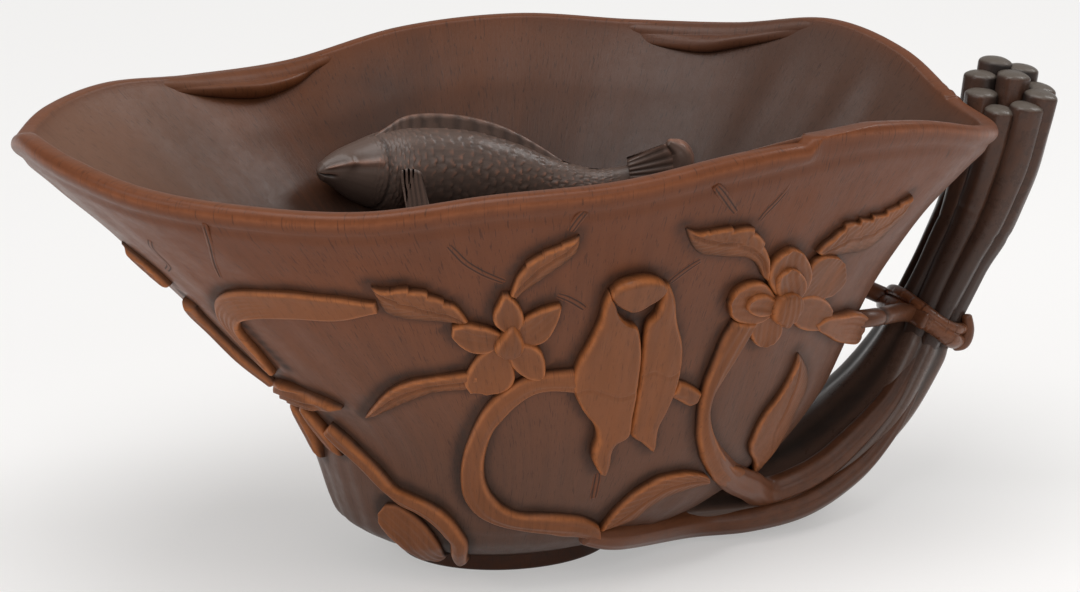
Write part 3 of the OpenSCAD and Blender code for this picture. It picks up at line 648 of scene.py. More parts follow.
def saw(line, teeth, depth, toward):
    """The edge line cut into teeth, each a slow slope and a quick step."""
    fine, _ = even(line, 60)
    far, _ = even(toward, 60)
    k = np.linspace(0, 1, 60)
    tooth = (k * teeth) % 1.0
    bite = depth * tooth * soft(k, 0.12, 0.3) * (1 - soft(k, 0.93, 1.0))
    return fine + (far - fine) * bite[:, None]


def leaf(node, left, right, lift=1.5, teeth=0, depth=0.0, high=-1):
    """A leaf that stands proud along one edge and runs down almost to the wall at the other."""
    a, b = spots(left), spots(right)
    if teeth:
        a = saw(a, teeth, depth, b)
    relief(node, a, b, lift, lambda u, s, half, length: leaf_form(u, s, half, length) * (0.68 + 0.32 * high * s),
           cols=34, rows=110)


leaf("spray_leaf_1", [(468, 318), (456, 303), (442, 296), (430, 290), (416, 286), (400, 285), (387, 287),
                      (371, 285)],
     [(462, 323), (445, 321), (429, 320), (415, 319), (403, 317), (392, 314), (384, 309), (372, 288)],
     teeth=6, depth=0.09)
leaf("spray_leaf_2", [(478, 372), (466, 370), (450, 372), (433, 374), (416, 377), (400, 382), (388, 389),
                      (376, 401), (366, 415)],
     [(479, 387), (466, 389), (450, 390), (433, 392), (418, 397), (403, 403), (389, 409), (377, 414),
      (367, 417)])
leaf("spray_leaf_3", [(509, 292), (512, 284), (517, 272), (526, 260), (537, 252), (550, 246), (564, 240),
                      (579, 234)],
     [(516, 298), (524, 290), (534, 284), (545, 276), (556, 268), (567, 260), (577, 250), (580, 236)],
     teeth=5, depth=0.07)
leaf("lotus_leaf_1", [(764, 278), (767, 262), (765, 247), (761, 235), (756, 227), (746, 223), (731, 224),
                      (716, 225), (700, 229), (686, 227)],
     [(760, 274), (755, 264), (748, 258), (738, 256), (726, 256), (713, 255), (700, 253), (692, 246),
      (688, 238), (685, 229)], 1.6, teeth=6, depth=0.11)
leaf("lotus_leaf_2", [(814, 250), (822, 242), (831, 235), (839, 226), (848, 219), (859, 216), (870, 213),
                      (882, 209), (897, 201), (911, 194)],
     [(820, 255), (833, 255), (846, 253), (858, 251), (868, 247), (878, 240), (888, 230), (898, 220),
      (905, 211), (911, 197)], 1.3, teeth=7, depth=0.12)
leaf("arch_leaf", [(709, 482), (698, 485), (684, 489), (670, 494), (660, 499), (648, 507), (633, 518),
                   (615, 525), (597, 528)],
     [(704, 472), (697, 470), (684, 469), (670, 471), (658, 474), (645, 481), (630, 491), (613, 507),
      (597, 526)],
     1.6, high=1)
leaf("crescent_leaf",
     [(757, 476), (749, 468), (747, 450), (751, 432), (761, 413), (776, 393), (789, 370), (796, 352)],
     [(762, 476), (769, 462), (776, 447), (784, 434), (795, 411), (805, 389), (807, 371), (798, 352)], 1.4)

# The bud that ends the tie's branch on the wall: a fat rounded leaf, a little hollow along
# its middle, carved from the wall like the petals beside it.
relief("tie_bud", spots([(812, 327), (822, 333), (833, 339), (846, 340), (857, 333), (863, 325)]),
       spots([(809, 321), (822, 313), (836, 311), (850, 308), (860, 313), (864, 320)]), 2.1, petal_form,
       cols=34, rows=56)

# The stems in relief. Each is half round, with the fibres of the plant cut along it as
# long shallow flutes.


def band(line, half, widths):
    """The two edges of a strip along a centre line, half its width to each side."""
    c, _ = even(line, 40)
    turn, level = c[:, 0], c[:, 1]
    da = outside(turn + 0.5, level) - outside(turn - 0.5, level)
    dl = (outside(turn, level + 0.004) - outside(turn, level - 0.004)) / 0.008
    go = np.gradient(c, axis=0)
    heading = unit(da * go[:, :1] + dl * go[:, 1:])
    across = np.cross(facing(outside, turn, np.clip(level, 0.01, 0.99)), heading)
    # one millimetre across the strip, as a step in turn and level
    tt, ll, tl = (da * da).sum(1), (dl * dl).sum(1), (da * dl).sum(1)
    at, al = (across * da).sum(1), (across * dl).sum(1)
    det = tt * ll - tl * tl
    step = np.stack([(at * ll - al * tl) / det, (al * tt - at * tl) / det], -1)
    w = (half * along(widths, np.linspace(0, 1, 40)))[:, None]
    return c - step * w, c + step * w


def stem_form(u, s, half, length):
    return (np.sqrt(np.clip(1 - (0.86 * s) ** 2, 0, 1)) * 0.98
            + 0.045 * np.cos(s * half * 4.2 + 0.6 * np.sin(u * 9)) + 0.03 * np.sin(u * length * 0.6))


relief("curled_stem",
       spots([(577, 366), (561, 368), (542, 370), (523, 375), (506, 385), (492, 396), (480, 412), (471, 430),
              (464, 450), (461, 470), (462, 488), (468, 502), (480, 513), (500, 522), (524, 527), (551, 530),
              (576, 532), (597, 536)]),
       spots([(577, 391), (561, 388), (546, 388), (532, 392), (517, 402), (504, 415), (494, 428), (488, 443),
              (485, 458), (485, 472), (488, 484), (495, 495), (506, 505), (524, 511), (550, 511), (575, 513),
              (590, 518), (598, 523)]), 1.7, stem_form, cols=30, rows=200, round_off=0.6)
relief("lotus_stem",
       spots([(731, 318), (720, 336), (711, 358), (702, 380), (697, 400), (695, 420), (695, 440), (701, 462),
              (713, 480), (727, 491), (745, 499)]),
       spots([(756, 318), (745, 337), (733, 356), (721, 374), (711, 392), (708, 411), (712, 432), (721, 450),
              (734, 463), (750, 473), (764, 478)]), 1.7,
       lambda u, s, half, length: stem_form(u, s, half, length) * (1 - 0.75 * soft(u, 0.80, 0.98)),
       cols=30, rows=170, round_off=0.6)
stem_widths = [0.9, 1, 1, 1, 0.9]
for node, line, half, widths, lift, rows in (
        ("link_stem", [[283.9, 0.485], [286.3, 0.465], [288.9, 0.44]], 1.5, stem_widths, 1.6, 30),
        ("back_stem", [[30, 0.53], [38, 0.52], [48, 0.47], [56, 0.40], [64, 0.33], [74, 0.285], [84, 0.30],
                       [90, 0.36], [92.5, 0.43], [93, 0.55]], 1.6, stem_widths, 2.0, 170)):
    relief(node, *band(line, half, widths), lift, stem_form, cols=24, rows=rows, round_off=0.6)

# The furled leaf between the blossoms: a young leaf still rolled from both sides. A hood
# curls over the top and two lobes meet in a deep crease below it.


def lobe_form(u, s, half, length):
    crack = 0.10 * np.exp(-(((u - 0.52 - 0.03 * np.sin(3 * s)) * length) / 0.22) ** 2)
    uneven = 0.02 * np.sin(u * 17 + 2 * s) + 0.02 * np.sin(s * 7)
    return 0.86 + 0.14 * np.sqrt(np.clip(1 - s * s, 0, 1)) - crack + uneven


relief("furled_leaf_left",
       spots([(607, 287), (601, 300), (597, 316), (586, 339), (575, 359), (570, 378), (573, 391), (580, 405),
              (590, 418), (594, 432), (590, 446), (590, 456), (597, 469)]),
       spots([(612, 300), (617, 311), (625, 318), (635, 323), (638, 347), (636, 370), (633, 393), (629, 412),
              (626, 429), (614, 437), (609, 446), (607, 458), (603, 470)]), 2.1, lobe_form, cols=40, rows=150,
       round_off=0.8)
relief("furled_leaf_right",
       spots([(661, 280), (659, 293), (653, 309), (643, 321), (639, 347), (636, 376), (631, 405), (628, 430),
              (638, 438), (649, 448)]),
       spots([(667, 280), (672, 295), (674, 317), (679, 340), (678, 362), (673, 384), (664, 405), (655, 424),
              (652, 449)]), 1.75, lobe_form, cols=40, rows=150, round_off=0.8)


def hood_form(u, s, half, length):
    return 0.80 + 0.34 * np.sin(np.pi * u) * (0.55 - 0.45 * s) + 0.02 * np.sin(9 * u)


relief("furled_leaf_hood",
       spots([(607, 292), (609, 286), (617, 278), (630, 273), (644, 271), (655, 273), (661, 277),
              (665, 282)]),
       spots([(612, 297), (615, 300), (621, 304), (629, 307), (637, 305), (645, 300), (653, 295),
              (661, 287)]),
       2.3, hood_form, cols=40, rows=90, round_off=1.0, undercut=0.2)

# Toward the spout: a broad strap leaf that turns a corner, a twig with a small blade, a
# ribbed pod, two hanging petals, a stem bent like a swan's neck and a leaf that scrolls
# over the foot.


def strap_form(u, s, half, length):
    lines = 0.05 * np.cos((s * half) * 7.5) * soft(u, 0.35, 0.55)
    return 0.70 + 0.24 * s * soft(u, 0.3, 0.6) + 0.12 * s * s + lines


relief("strap_leaf", *band([[237, 0.776], [229.5, 0.766], [222.8, 0.763], [214.3, 0.745], [208, 0.71],
                            [203, 0.66], [201, 0.62], [200, 0.565], [199, 0.51]], 3.0,
                           [0.35, 0.8, 0.95, 1, 0.95, 0.75, 0.65, 0.6, 0.4]),
       1.45, strap_form, cols=40, rows=170, round_off=0.9)
blade = band([[184, 0.79], [186.5, 0.75], [190, 0.705]], 1.8, [0.05, 0.5, 0.9, 1, 0.8, 0.3])
stalk = band([[190, 0.66], [187, 0.62], [186, 0.57], [187, 0.52], [189, 0.47], [190, 0.45]], 1.4, stem_widths)
cluster("spout_twig", [carve("carved_spout_blade", *blade, 1.3, leaf_form, cols=24, rows=40),
                       carve("carved_spout_stalk", *stalk, 1.5, stem_form, cols=22, rows=90, round_off=0.6)])


def pod_form(u, s, half, length):
    return 0.9 - 0.2 * s * s + 0.17 * np.cos(s * half * 4.6 + 3 * u) * (1 - soft(u, 0.55, 0.8))


relief("pod", *band([[193.5, 0.445], [198, 0.452], [203, 0.455], [209, 0.455], [214, 0.45]], 2.75,
                    [0.8, 1, 0.8, 0.45, 0.1]), 2.0, pod_form, cols=36, rows=80)
cluster("hanging_petals", [
    carve(f"hanging_{k}", *band(line, half, [0.5, 0.9, 1, 0.85, 0.25]), 1.6, bud_form, cols=22, rows=60)
    for k, (line, half) in enumerate((([[183.5, 0.375], [182.5, 0.305], [183, 0.23]], 1.5),
                                      ([[192, 0.395], [195, 0.33], [197, 0.27]], 1.35)))])
relief("swan_stem",
       spots([(328, 427), (341, 441), (357, 457), (375, 476), (390, 490), (402, 500), (416, 507), (430, 516),
              (443, 529), (451, 542), (455, 556)]),
       spots([(333, 421), (348, 434), (364, 449), (382, 467), (397, 484), (412, 492), (430, 500), (447, 511),
              (461, 527), (469, 544), (470, 558)]), 1.8, stem_form, cols=30, rows=150, round_off=0.6)
relief("scroll_leaf",
       spots([(383, 508), (384, 518), (391, 528), (401, 537), (414, 545), (428, 551), (446, 557)]),
       spots([(387, 502), (398, 503), (410, 509), (423, 519), (434, 532), (442, 545), (449, 556)]), 1.7,
       lambda u, s, half, length: 0.72 - 0.26 * s + 0.03 * np.sin(s * half * 5), cols=34, rows=80)

# The far side, which the photograph doesn't show, carries a blossom of the same hand with
# three leaves on a stem that runs to the tie.
cluster("back_petals", [
    carve(f"far_petal_{k}", *band(line, 3.45, [0.5, 0.85, 1, 0.95, 0.45]), 1.9, petal_form, cols=26, rows=40)
    for k, line in enumerate(([[93, 0.635], [93.5, 0.70], [94, 0.76]],
                              [[91, 0.62], [86, 0.655], [80.5, 0.682]],
                              [[92, 0.595], [88, 0.548], [83.5, 0.497]],
                              [[94.5, 0.595], [98.5, 0.545], [102.5, 0.495]],
                              [[95, 0.62], [100.5, 0.65], [105.5, 0.672]]))])
relief("back_heart", *band([[93, 0.565], [93, 0.61], [93.2, 0.655]], 2.5, [0.35, 0.9, 1, 0.9, 0.35]), 2.5,
       bud_form, cols=30, rows=40, round_off=1.1)
three = []
for k, (line, half) in enumerate((([[77, 0.69], [72, 0.74], [66, 0.77], [60, 0.78]], 3.2),
                                  ([[109, 0.625], [115, 0.64], [122, 0.63], [128, 0.60]], 3.2),
                                  ([[99, 0.45], [104, 0.40], [111, 0.36], [118, 0.33]], 2.9))):
    a, b = band(line, half, [0.15, 0.7, 1, 0.95, 0.6, 0.04])
    three.append(carve(f"far_leaf_{k}", saw(a, 6, 0.14, b), b, 1.7, leaf_form, cols=34, rows=90))
cluster("back_leaves", three)

# The veins of the great leaf: pairs of fine lines cut in the wall with a low rib between
# them, and one drying crack under the lip.


def vein(name, line, half=0.8, split=False):
    a, b = band(spots(line), half, [0.8, 1, 1, 1, 0.8])
    (a, _), (b, _) = even(a, 120), even(b, 120)

    def place(x, y):
        u, s = (y + 1) / 2, x
        at_a, at_b = at_share(a, u), at_share(b, u)
        at = at_a * ((1 - s) / 2)[:, None] + at_b * ((1 + s) / 2)[:, None]
        fade = soft(u, 0, 0.08) * (1 - soft(u, 0.92, 1))
        line_at, line_wide = (0.0, 0.22) if split else (0.42, 0.15)
        groove = np.exp(-((np.abs(s) - line_at) / line_wide) ** 2)
        crest = 0.055 * (1 - soft(np.abs(s), 0.30, 0.95)) + 0.015
        h = crest * (1 - 0.85 * groove) * fade - 0.05 * soft(np.abs(s), 0.70, 1.0) - 0.07 * (1 - fade)
        h = np.where((np.abs(x) > 0.999) | (np.abs(y) > 0.999), -0.8, h)
        n = facing(outside, at[:, 0], np.clip(at[:, 1], 0.01, 0.99))
        # the cut lines are darkened with painted shade and grime
        return outside(at[:, 0], at[:, 1]) + n * (h + tool_marks(at[:, 0], at[:, 1]))[:, None], {
            "grain": grain_at(at[:, 0], at[:, 1]), "shade_and_grime": groove * fade, "edge": 0.1 * (1 - groove) * fade}

    return bent_sheet(name, 26, 100, place)


veins = [vein(f"vein_{k}", line) for k, line in enumerate((
    [(446, 243), (455, 252), (465, 262), (476, 269), (488, 275), (508, 283)],
    [(556, 294), (566, 297), (576, 302), (586, 309)],
    [(716, 186), (724, 196), (731, 206), (737, 214)],
    [(794, 176), (788, 188), (778, 200), (766, 212), (757, 223)],
    [(702, 259), (692, 265), (680, 274), (668, 284)],
    [(586, 212), (578, 221), (570, 232)],
    [(598, 472), (597, 480), (595, 490), (593, 500)],
    [(150, 239), (152, 247), (159, 255), (166, 262), (169, 267), (166, 271)]))]
veins.append(vein("crack", [(204, 223), (208, 236), (212, 252), (216, 268), (222, 281)], 0.5, split=True))
finish(joined("leaf_veins", veins), wall_horn, "horn_wall")

# The foot: a low oval pad of the same horn under the wall, worn smooth at its edge. Its flat
# underside is what the cup stands on.
bpy.ops.object.select_all(action="DESELECT")
foot_tall = 3.4
bpy.ops.mesh.primitive_cylinder_add(vertices=120, radius=1, depth=foot_tall * MM,
                                    location=(0, 0, foot_tall / 2 * MM), end_fill_type="NGON")
foot = bpy.context.object
foot.name = foot.data.name = "carved_foot"
foot.scale = (foot_length / 2 * MM, foot_width / 2 * MM, 1)
bpy.ops.object.transform_apply(location=True, rotation=True, scale=True)
soften = foot.modifiers.new("worn", "BEVEL")
soften.width, soften.segments, soften.limit_method = 0.7 * MM, 5, "ANGLE"
bpy.ops.object.modifier_apply(modifier="worn")
on_foot = points_of(foot) / MM
# the whole foot is darkened as painted shade, for it lies under the wall, with a little wear
put_marks(foot, {"grain": on_foot / 10, "shade_and_grime": np.full(len(on_foot), 0.75),
                 "edge": np.full(len(on_foot), 0.2)})
bpy.ops.object.shade_smooth_by_angle(angle=math.radians(40))
finish(foot, wall_horn, "horn_foot", "foot")

# The handle. Nine stems rise in a bundle from a thick root under the bowl; they part above
# the tie and are cut off level with the lip, each with a low domed end.
# the bundle's middle line as shares of lip_reach and cup_height, then how deep and wide it is along
# that line, and how thick one stem is
handle_shares = [[0.163, 0.091], [0.354, 0.079], [0.517, 0.08], [0.639, 0.109], [0.735, 0.167],
                 [0.801, 0.224], [0.848, 0.279], [0.902, 0.364], [0.948, 0.459], [0.997, 0.564],
                 [1.045, 0.659], [1.082, 0.767], [1.11, 0.883], [1.128, 1]]
deep_shares = [0.54, 0.56, 0.59, 0.67, 0.72, 0.74, 0.74, 0.72, 0.69, 0.69, 0.77, 0.85, 0.92, 1]
wide_shares = [1.71, 1.78, 1.78, 1.64, 1.45, 1.29, 1.16, 0.97, 0.87, 0.87, 0.89, 0.95, 0.97, 1]
thick_shares = [1, 1, 1, 1, 1, 0.98, 0.92, 0.82, 0.74, 0.76, 0.84, 0.92, 0.97, 1]
bundle_deep, bundle_wide, cane_radius, tie_at = 7.8, 7.6, 2.65, 0.59
handle_horn = horn("waxed_horn_handle", body=(0.037, 0.022, 0.017), worn=(0.100, 0.041, 0.022),
                   deep=(0.012, 0.010, 0.009), rough=0.33, fibre=0.6, coat=0.18, cut=(0.098, 0.080, 0.066))


def handle_at(x):
    """The middle of the bundle, from under the foot, 0, to the cut ends, 1."""
    p = along(handle_shares, x)
    return np.stack([p[..., 0] * lip_reach, 0 * p[..., 0], p[..., 1] * cup_height], -1)


def handle_frame(x):
    """The way along the bundle and the way out from the bowl, at x along it."""
    h = unit(handle_at(np.minimum(x + 0.01, 1)) - handle_at(np.maximum(x - 0.01, 0)))
    return h, np.stack([h[..., 2], 0 * h[..., 0], -h[..., 0]], -1)


def bundle_point(x, turn, ring=1.0, extra=0.0):
    """A place on the bundle's outline, or extra millimetres out from it; ring 0 is its middle."""
    x, t = np.asarray(x, float), np.radians(turn)
    _, out = handle_frame(x)
    side = np.array([0, 1.0, 0])
    return (handle_at(x) + out * (ring * (bundle_deep * along(deep_shares, x) + extra) * np.cos(t))[..., None]
            + side * (ring * (bundle_wide * along(wide_shares, x) + extra) * np.sin(t))[..., None])


def with_ends(t, cap):
    """The share along a piece at the share t of its sheet, and how far into its start's and end's domes."""
    return (np.clip((t - cap) / (1 - 2 * cap), 0, 1), np.clip((cap - t) / cap, 0, 1),
            np.clip((t - 1 + cap) / cap, 0, 1))


def rod(name, path, radius, light, rows=120, cols=28, dome=(0.5, 0.5), flute=None, cap=0.06, closed=False,
        ends_cut=False, slim=(1.0, 1.0), paler=0.0):
    """A round piece along a path of points in millimetres, domed at both ends or closed on itself.

    light gives the share of wear and painted highlight and of painted shade and grime at each place, and flute how
    far it stands out as a share of the radius.
    """
    path = np.asarray(path, float)
    dense = along(path, np.linspace(0, 1, 400)) if len(path) < 100 else path
    n = len(dense)
    heading = unit(np.roll(dense, -1, 0) - np.roll(dense, 1, 0) if closed else np.gradient(dense, axis=0))
    first = np.cross(heading[0], [0.0, 1.0, 0.0])
    if np.linalg.norm(first) < 0.3:
        first = np.cross(heading[0], [0.0, 0.0, 1.0])
    side = [first / np.linalg.norm(first)]
    for k in range(1, n):
        s = side[-1] - heading[k] * (side[-1] @ heading[k])
        side.append(s / np.linalg.norm(s))
    side = np.array(side)
    over = np.cross(heading, side)
    run = lengths(dense)

    def place(x, y):
        phi, t = np.pi * (x + 1), (y + 1) / 2
        if closed:
            core, start, end = t, 0 * t, 0 * t
            low = np.floor(t * n).astype(int) % n
            centre, go = dense[low], heading[low]
            a = centre - dense.mean(0)
            a = unit(a - go * (a * go).sum(1, keepdims=True))
            b = np.cross(go, a)
        else:
            core, start, end = with_ends(t, cap)
            centre, go, a, b = [at_share(table, core) for table in (dense, heading, side, over)]
        r = radius * along(slim, core)
        girth = r * np.sqrt(1 - np.maximum(start, end) ** 2) * (1 + (flute(core, phi) if flute else 0))
        push = (end * dome[1] - start * dome[0]) * r
        ring = (a * np.cos(phi)[:, None] + b * np.sin(phi)[:, None]) * girth[:, None]
        where = centre + ring + go * push[:, None]
        edge, shade_and_grime = light(core, phi, where)
        return where, {
            "grain": np.stack([0.12 * r * np.cos(phi), 0.12 * r * np.sin(phi),
                               np.interp(core * (n - 1), np.arange(n), run) / 10], -1),
            "shade_and_grime": shade_and_grime, "edge": edge,
            "cut": soft(end, 0.05, 0.5) if ends_cut else paler * (1 - soft(core, 0.10, 0.45))}

    return bent_sheet(name, cols, rows, place)


# turn and ring of each stem in the bundle, and where along the handle it is cut off
cane_places = [(0, 0, 0.985), (8, 1, 0.968), (52, 1, 0.99), (95, 1, 1.0), (140, 1, 0.975),
               (185, 1, 0.955), (230, 1, 0.94), (273, 1, 0.95), (318, 1, 0.965)]
cane_from, cane_steps = 0.46, 300
for k, (turn, ring, top) in enumerate(cane_places):
    xs = np.linspace(cane_from, top, cane_steps)
    thick = along(thick_shares, xs)
    sway = turn + 5 * np.sin(xs * 9 + k * 1.7)
    sunk = 0.05 + 1.3 * (1 - soft(xs, cane_from, 0.60))
    path = np.array([bundle_point(x, t, ring, -cane_radius * w - d)
                     for x, t, w, d in zip(xs, sway, thick, sunk)])

    def flute(core, phi, k=k):
        node_at = 0.62 + 0.05 * math.sin(k * 2.3)
        return (0.035 * np.cos(3 * phi + 4 * core + k) + 0.022 * np.cos(7 * phi - 6 * core + 2 * k)
                + 0.02 * np.sin(core * 31 + k) - 0.05 * np.exp(-((core - node_at) / 0.012) ** 2))

    def light(core, phi, where, path=path):
        # painted shade between the stems, and wear with a painted highlight on their outer front sides, more toward
        # their tops
        away = where - handle_at(cane_from + core * 0.52)
        own = where - at_share(path, core)
        out = (own * away).sum(1) / np.maximum(np.linalg.norm(own, axis=1) * np.linalg.norm(away, axis=1),
                                               1e-6)
        front = np.clip(-own[:, 1] / cane_radius, 0, 1)
        high = soft(core, 0.35, 0.75)
        return (0.08 + 0.55 * front * soft(out, 0.0, 0.8)) * (0.25 + 0.75 * high), (1 - soft(out, -0.35, 0.35)) * 0.9

    piece = rod(f"carved_handle_cane_{k + 1}", path, cane_radius, light, rows=170, cols=36, dome=(0.3, 0.42),
                flute=flute, cap=0.045, ends_cut=True, slim=thick[::30].tolist() + [thick[-1]])
    finish(piece, handle_horn, "horn_handle", f"handle_cane_{k + 1}")

# The root of the handle: the stems run together below the tie in one thick arm with soft
# lobes, smooth from handling, that passes under the bowl to the foot.
# The arm's pale grey colour stands partly for a painted sheen.
stock_horn = horn("waxed_horn_arm", body=(0.084, 0.051, 0.039), worn=(0.165, 0.078, 0.046),
                  deep=(0.024, 0.018, 0.015), rough=0.28, fibre=0.5, coat=0.32)
stock_to = 0.60


def stock_skin(x, y):
    phi, t = np.pi * (x + 1), (y + 1) / 2
    core, start, end = with_ends(t, 0.05)
    core = core * stock_to
    # one lobe below each of the outer stems, swaying with it
    lobes = np.zeros(len(phi))
    for c, (turn, _, _) in enumerate(cane_places[1:]):
        off = (np.degrees(phi) - turn - 5 * np.sin(core * 9 + (c + 1) * 1.7) + 180) % 360 - 180
        lobes = np.maximum(lobes, np.exp(-(off / 17) ** 2))
    deep = 0.035 + 0.085 * soft(core, 0.12, 0.5)
    factor = (1 - deep * (1 - lobes)) * (1 - 0.17 * soft(core, 0.54, stock_to)) + 0.006 * np.sin(17 * core + 3 * phi)
    factor *= np.sqrt(1 - np.maximum(start, end) ** 2)
    centre, (heading, _) = handle_at(core), handle_frame(core)
    where = (centre + (bundle_point(core, np.degrees(phi)) - centre) * factor[:, None]
             + heading * ((end - start) * 1.2)[:, None])
    where[:, 2] = np.maximum(where[:, 2], 0.3)
    # painted shade in the grooves between the lobes and on the side toward the bowl; a painted highlight along the
    # lobes on the side away from it
    groove = 1 - soft(lobes, 0.15, 0.7)
    under = np.clip(np.cos(phi), 0, 1)
    return where, {
        "grain": np.stack([0.9 * np.cos(phi), 0.9 * np.sin(phi), core * 12], -1),
        "shade_and_grime": 0.75 * groove + 0.10 * (1 - under), "edge": 0.16 + 0.42 * under * lobes}


finish(bent_sheet("carved_handle_stock", 120, 170, stock_skin), stock_horn, "horn_handle", "handle_stock")

# The blossom's stem leaves the wall at the foot of the handle and lies along its root, and
# a second one runs under the bowl beside it.
stem_horn = horn("waxed_horn_stem", body=(0.086, 0.035, 0.019), worn=(0.240, 0.080, 0.030),
                 deep=(0.012, 0.008, 0.006), rough=0.36, fibre=0.7, coat=0.22, cut=(0.165, 0.056, 0.023))


def stem_flute(core, phi):
    return 0.05 * np.cos(4 * phi + 3 * core) + 0.03 * np.cos(9 * phi) + 0.03 * np.sin(14 * core)


def stem_light(core, phi, where):
    return 0.55 * (1 - core) + 0.1, 0.15 + 0.35 * core


def along_stock(places):
    """Points on the arm for a list of (how far along the handle, turn, how far out)."""
    return [bundle_point(x, turn, 1.0, out) for x, turn, out in places]


on_wall = [outside(*spot) for spot in spots([(709, 438), (716, 458), (729, 475)])]
on_arm = along_stock([(0.15, 245, -0.2), (0.20, 245, -0.3), (0.25, 245, -0.4), (0.30, 245, -0.5),
                      (0.36, 246, -0.8), (0.43, 248, -1.3), (0.50, 250, -1.9), (0.56, 250, -2.4)])
path = np.array(on_wall + [(on_wall[-1] + on_arm[0]) / 2 + [0, -0.6, 0]] + on_arm)
piece = rod("carved_handle_root", path, 2.25, stem_light, rows=200, cols=36, flute=stem_flute,
            slim=[0.35, 0.68, 0.94, 1.02, 1.02, 1.0, 0.95, 0.92, 0.88, 0.82, 0.7, 0.5], paler=0.9)
finish(piece, stem_horn, "horn_handle", "handle_root")
path = np.array([outside(277, 0.085) + [0, -0.3, 0], outside(288, 0.06) + [0.5, -1.0, 0]] + along_stock(
    [(0.07, 292, -0.2), (0.13, 291, -0.2), (0.20, 290, -0.4), (0.28, 288, -0.6), (0.36, 287, -1.0),
     (0.44, 286, -1.6), (0.52, 285, -2.2)]))
path[:, 2] = np.maximum(path[:, 2], 2.6)
piece = rod("base_stem", path, 1.9, stem_light, rows=180, cols=32, flute=stem_flute,
            slim=[0.8, 1.0, 1.15, 1.15, 1.1, 1.0, 0.85, 0.7, 0.5], paler=0.5)
finish(piece, stem_horn, "horn_handle")

# The tie: a twig wound twice around the bundle, held to the wall by a branch on each side
# and knotted on the outside.


def band_flute(core, phi):
    return 0.06 * np.cos(3 * phi + 9 * core) + 0.03 * np.sin(40 * core)


# the rings are lighter on their outer side as painted light, and painted shade lies on the side against the bundle
def band_light(core, phi, where):
    return 0.25 + 0.35 * np.clip(np.cos(phi), 0, 1), 0.5 * np.clip(-np.cos(phi), 0, 1)


def branch_nick(core):
    return np.exp(-((core - 0.38) / 0.02) ** 2)


def branch_flute(core, phi):
    return 0.04 * np.cos(3 * phi + 5 * core) - 0.22 * branch_nick(core)


# painted shade and grime in the nick
def branch_light(core, phi, where):
    return 0.3 + 0 * core, 0.1 + 0.8 * branch_nick(core)


def knot_light(core, phi, where):
    return 0.4 + 0 * core, 0.1 + 0 * core


for k, (name, nodes, at, r, grow) in enumerate((("carved_tie_band", ["tie_band"], tie_at - 0.004, 1.35, 0.35),
                                                ("tie_second_turn", [], tie_at + 0.014, 0.95, 0.45))):
    ring = np.array([bundle_point(at + 0.006 * np.sin(np.radians(t * 2 + 60 * k)), t, 1.0, grow)
                     for t in np.arange(0, 360, 2.0)])
    piece = rod(name, ring, r, band_light, rows=200, cols=26, closed=True, flute=band_flute)
    finish(piece, stem_horn, "horn_tie", *nodes)
for side, turns, wall_turns in (("front", (215, 240), (334, 336)), ("back", (145, 120), (26, 24))):
    path = np.array([outside(wall_turns[0], 0.505), outside(wall_turns[1], 0.5) + [lip_wall, 0, 0],
                     bundle_point(tie_at, turns[0], 1.3), bundle_point(tie_at, turns[1], 1.05, 0.7)])
    piece = rod("carved_tie_branch_" + side, path, 1.4, branch_light, rows=90, cols=28, flute=branch_flute)
    finish(piece, stem_horn, "horn_tie", "tie_branch_" + side)
knot = []
for k, (low, high, turn, r) in enumerate(((-0.020, 0.032, 322, 1.05), (-0.014, 0.026, 336, 0.85))):
    path = np.array([bundle_point(tie_at + low, turn, 1, 0.4),
                     bundle_point(tie_at + low * 0.4, turn + 3, 1, 1.4),
                     bundle_point(tie_at + high * 0.4, turn + 3, 1, 1.3),
                     bundle_point(tie_at + high, turn - 2, 1, 0.4)])
    knot.append(rod(f"knot_{k}", path, r, knot_light, rows=50, cols=24, slim=[0.8, 1.1, 1.05, 0.8]))
finish(joined("carved_tie_knot", knot), stem_horn, "horn_tie", "tie_knot")

# The carp: carved in high relief from the far wall of the bowl, its back toward the lip,
# with cut scales, a long back fin, a fin under its gill and a curled tail.
fish_length, fish_half, fish_from, scale_long, scale_wide = 52.0, 7.0, -0.385, 1.08, 1.36
# the carp's middle line: how far along, how far from the wall and how high; then its girth
fish_shares = [[0, 1.13, 0.788], [0.07, 1.09, 0.784], [0.147, 1, 0.772], [0.22, 0.96, 0.764],
               [0.3, 0.92, 0.756],
               [0.46, 0.81, 0.741], [0.61, 0.68, 0.717], [0.745, 0.58, 0.697], [0.875, 0.59, 0.693],
               [0.98, 0.76, 0.713]]
body_shares = [0.14, 0.45, 0.72, 0.9, 1, 0.98, 0.84, 0.58, 0.36, 0.3]
fish_horn = horn("dark_horn_carp", body=(0.088, 0.058, 0.046), worn=(0.250, 0.120, 0.080),
                 deep=(0.020, 0.016, 0.014), rough=0.36, fibre=0.2, coat=0.25)


def bowl_back(x, z):
    """How far back the far wall's inside lies, at a place along the cup and a height."""
    long, wide = size_at((z - foot_height) / (cup_height - foot_height), x > 0)
    return (wide - lip_wall) * np.sqrt(1 - (x / (long - lip_wall)) ** 2)


def fish_at(x):
    """The middle of the carp's body, from its nose, 0, to its tail, 1."""
    p = along(fish_shares, x)
    go, up = fish_length * (p[..., 0] + fish_from), cup_height * p[..., 2]
    return np.stack([go, bowl_back(go, up) - fish_half * p[..., 1], up], -1)


def fish_frame(x):
    """The ways along the carp, to its front and to its back fin."""
    h = unit(fish_at(np.minimum(x + 0.02, 1)) - fish_at(np.maximum(x - 0.02, 0)))
    front = unit(np.cross(h, [0, 0, 1.0]))
    return h, front, np.cross(front, h)


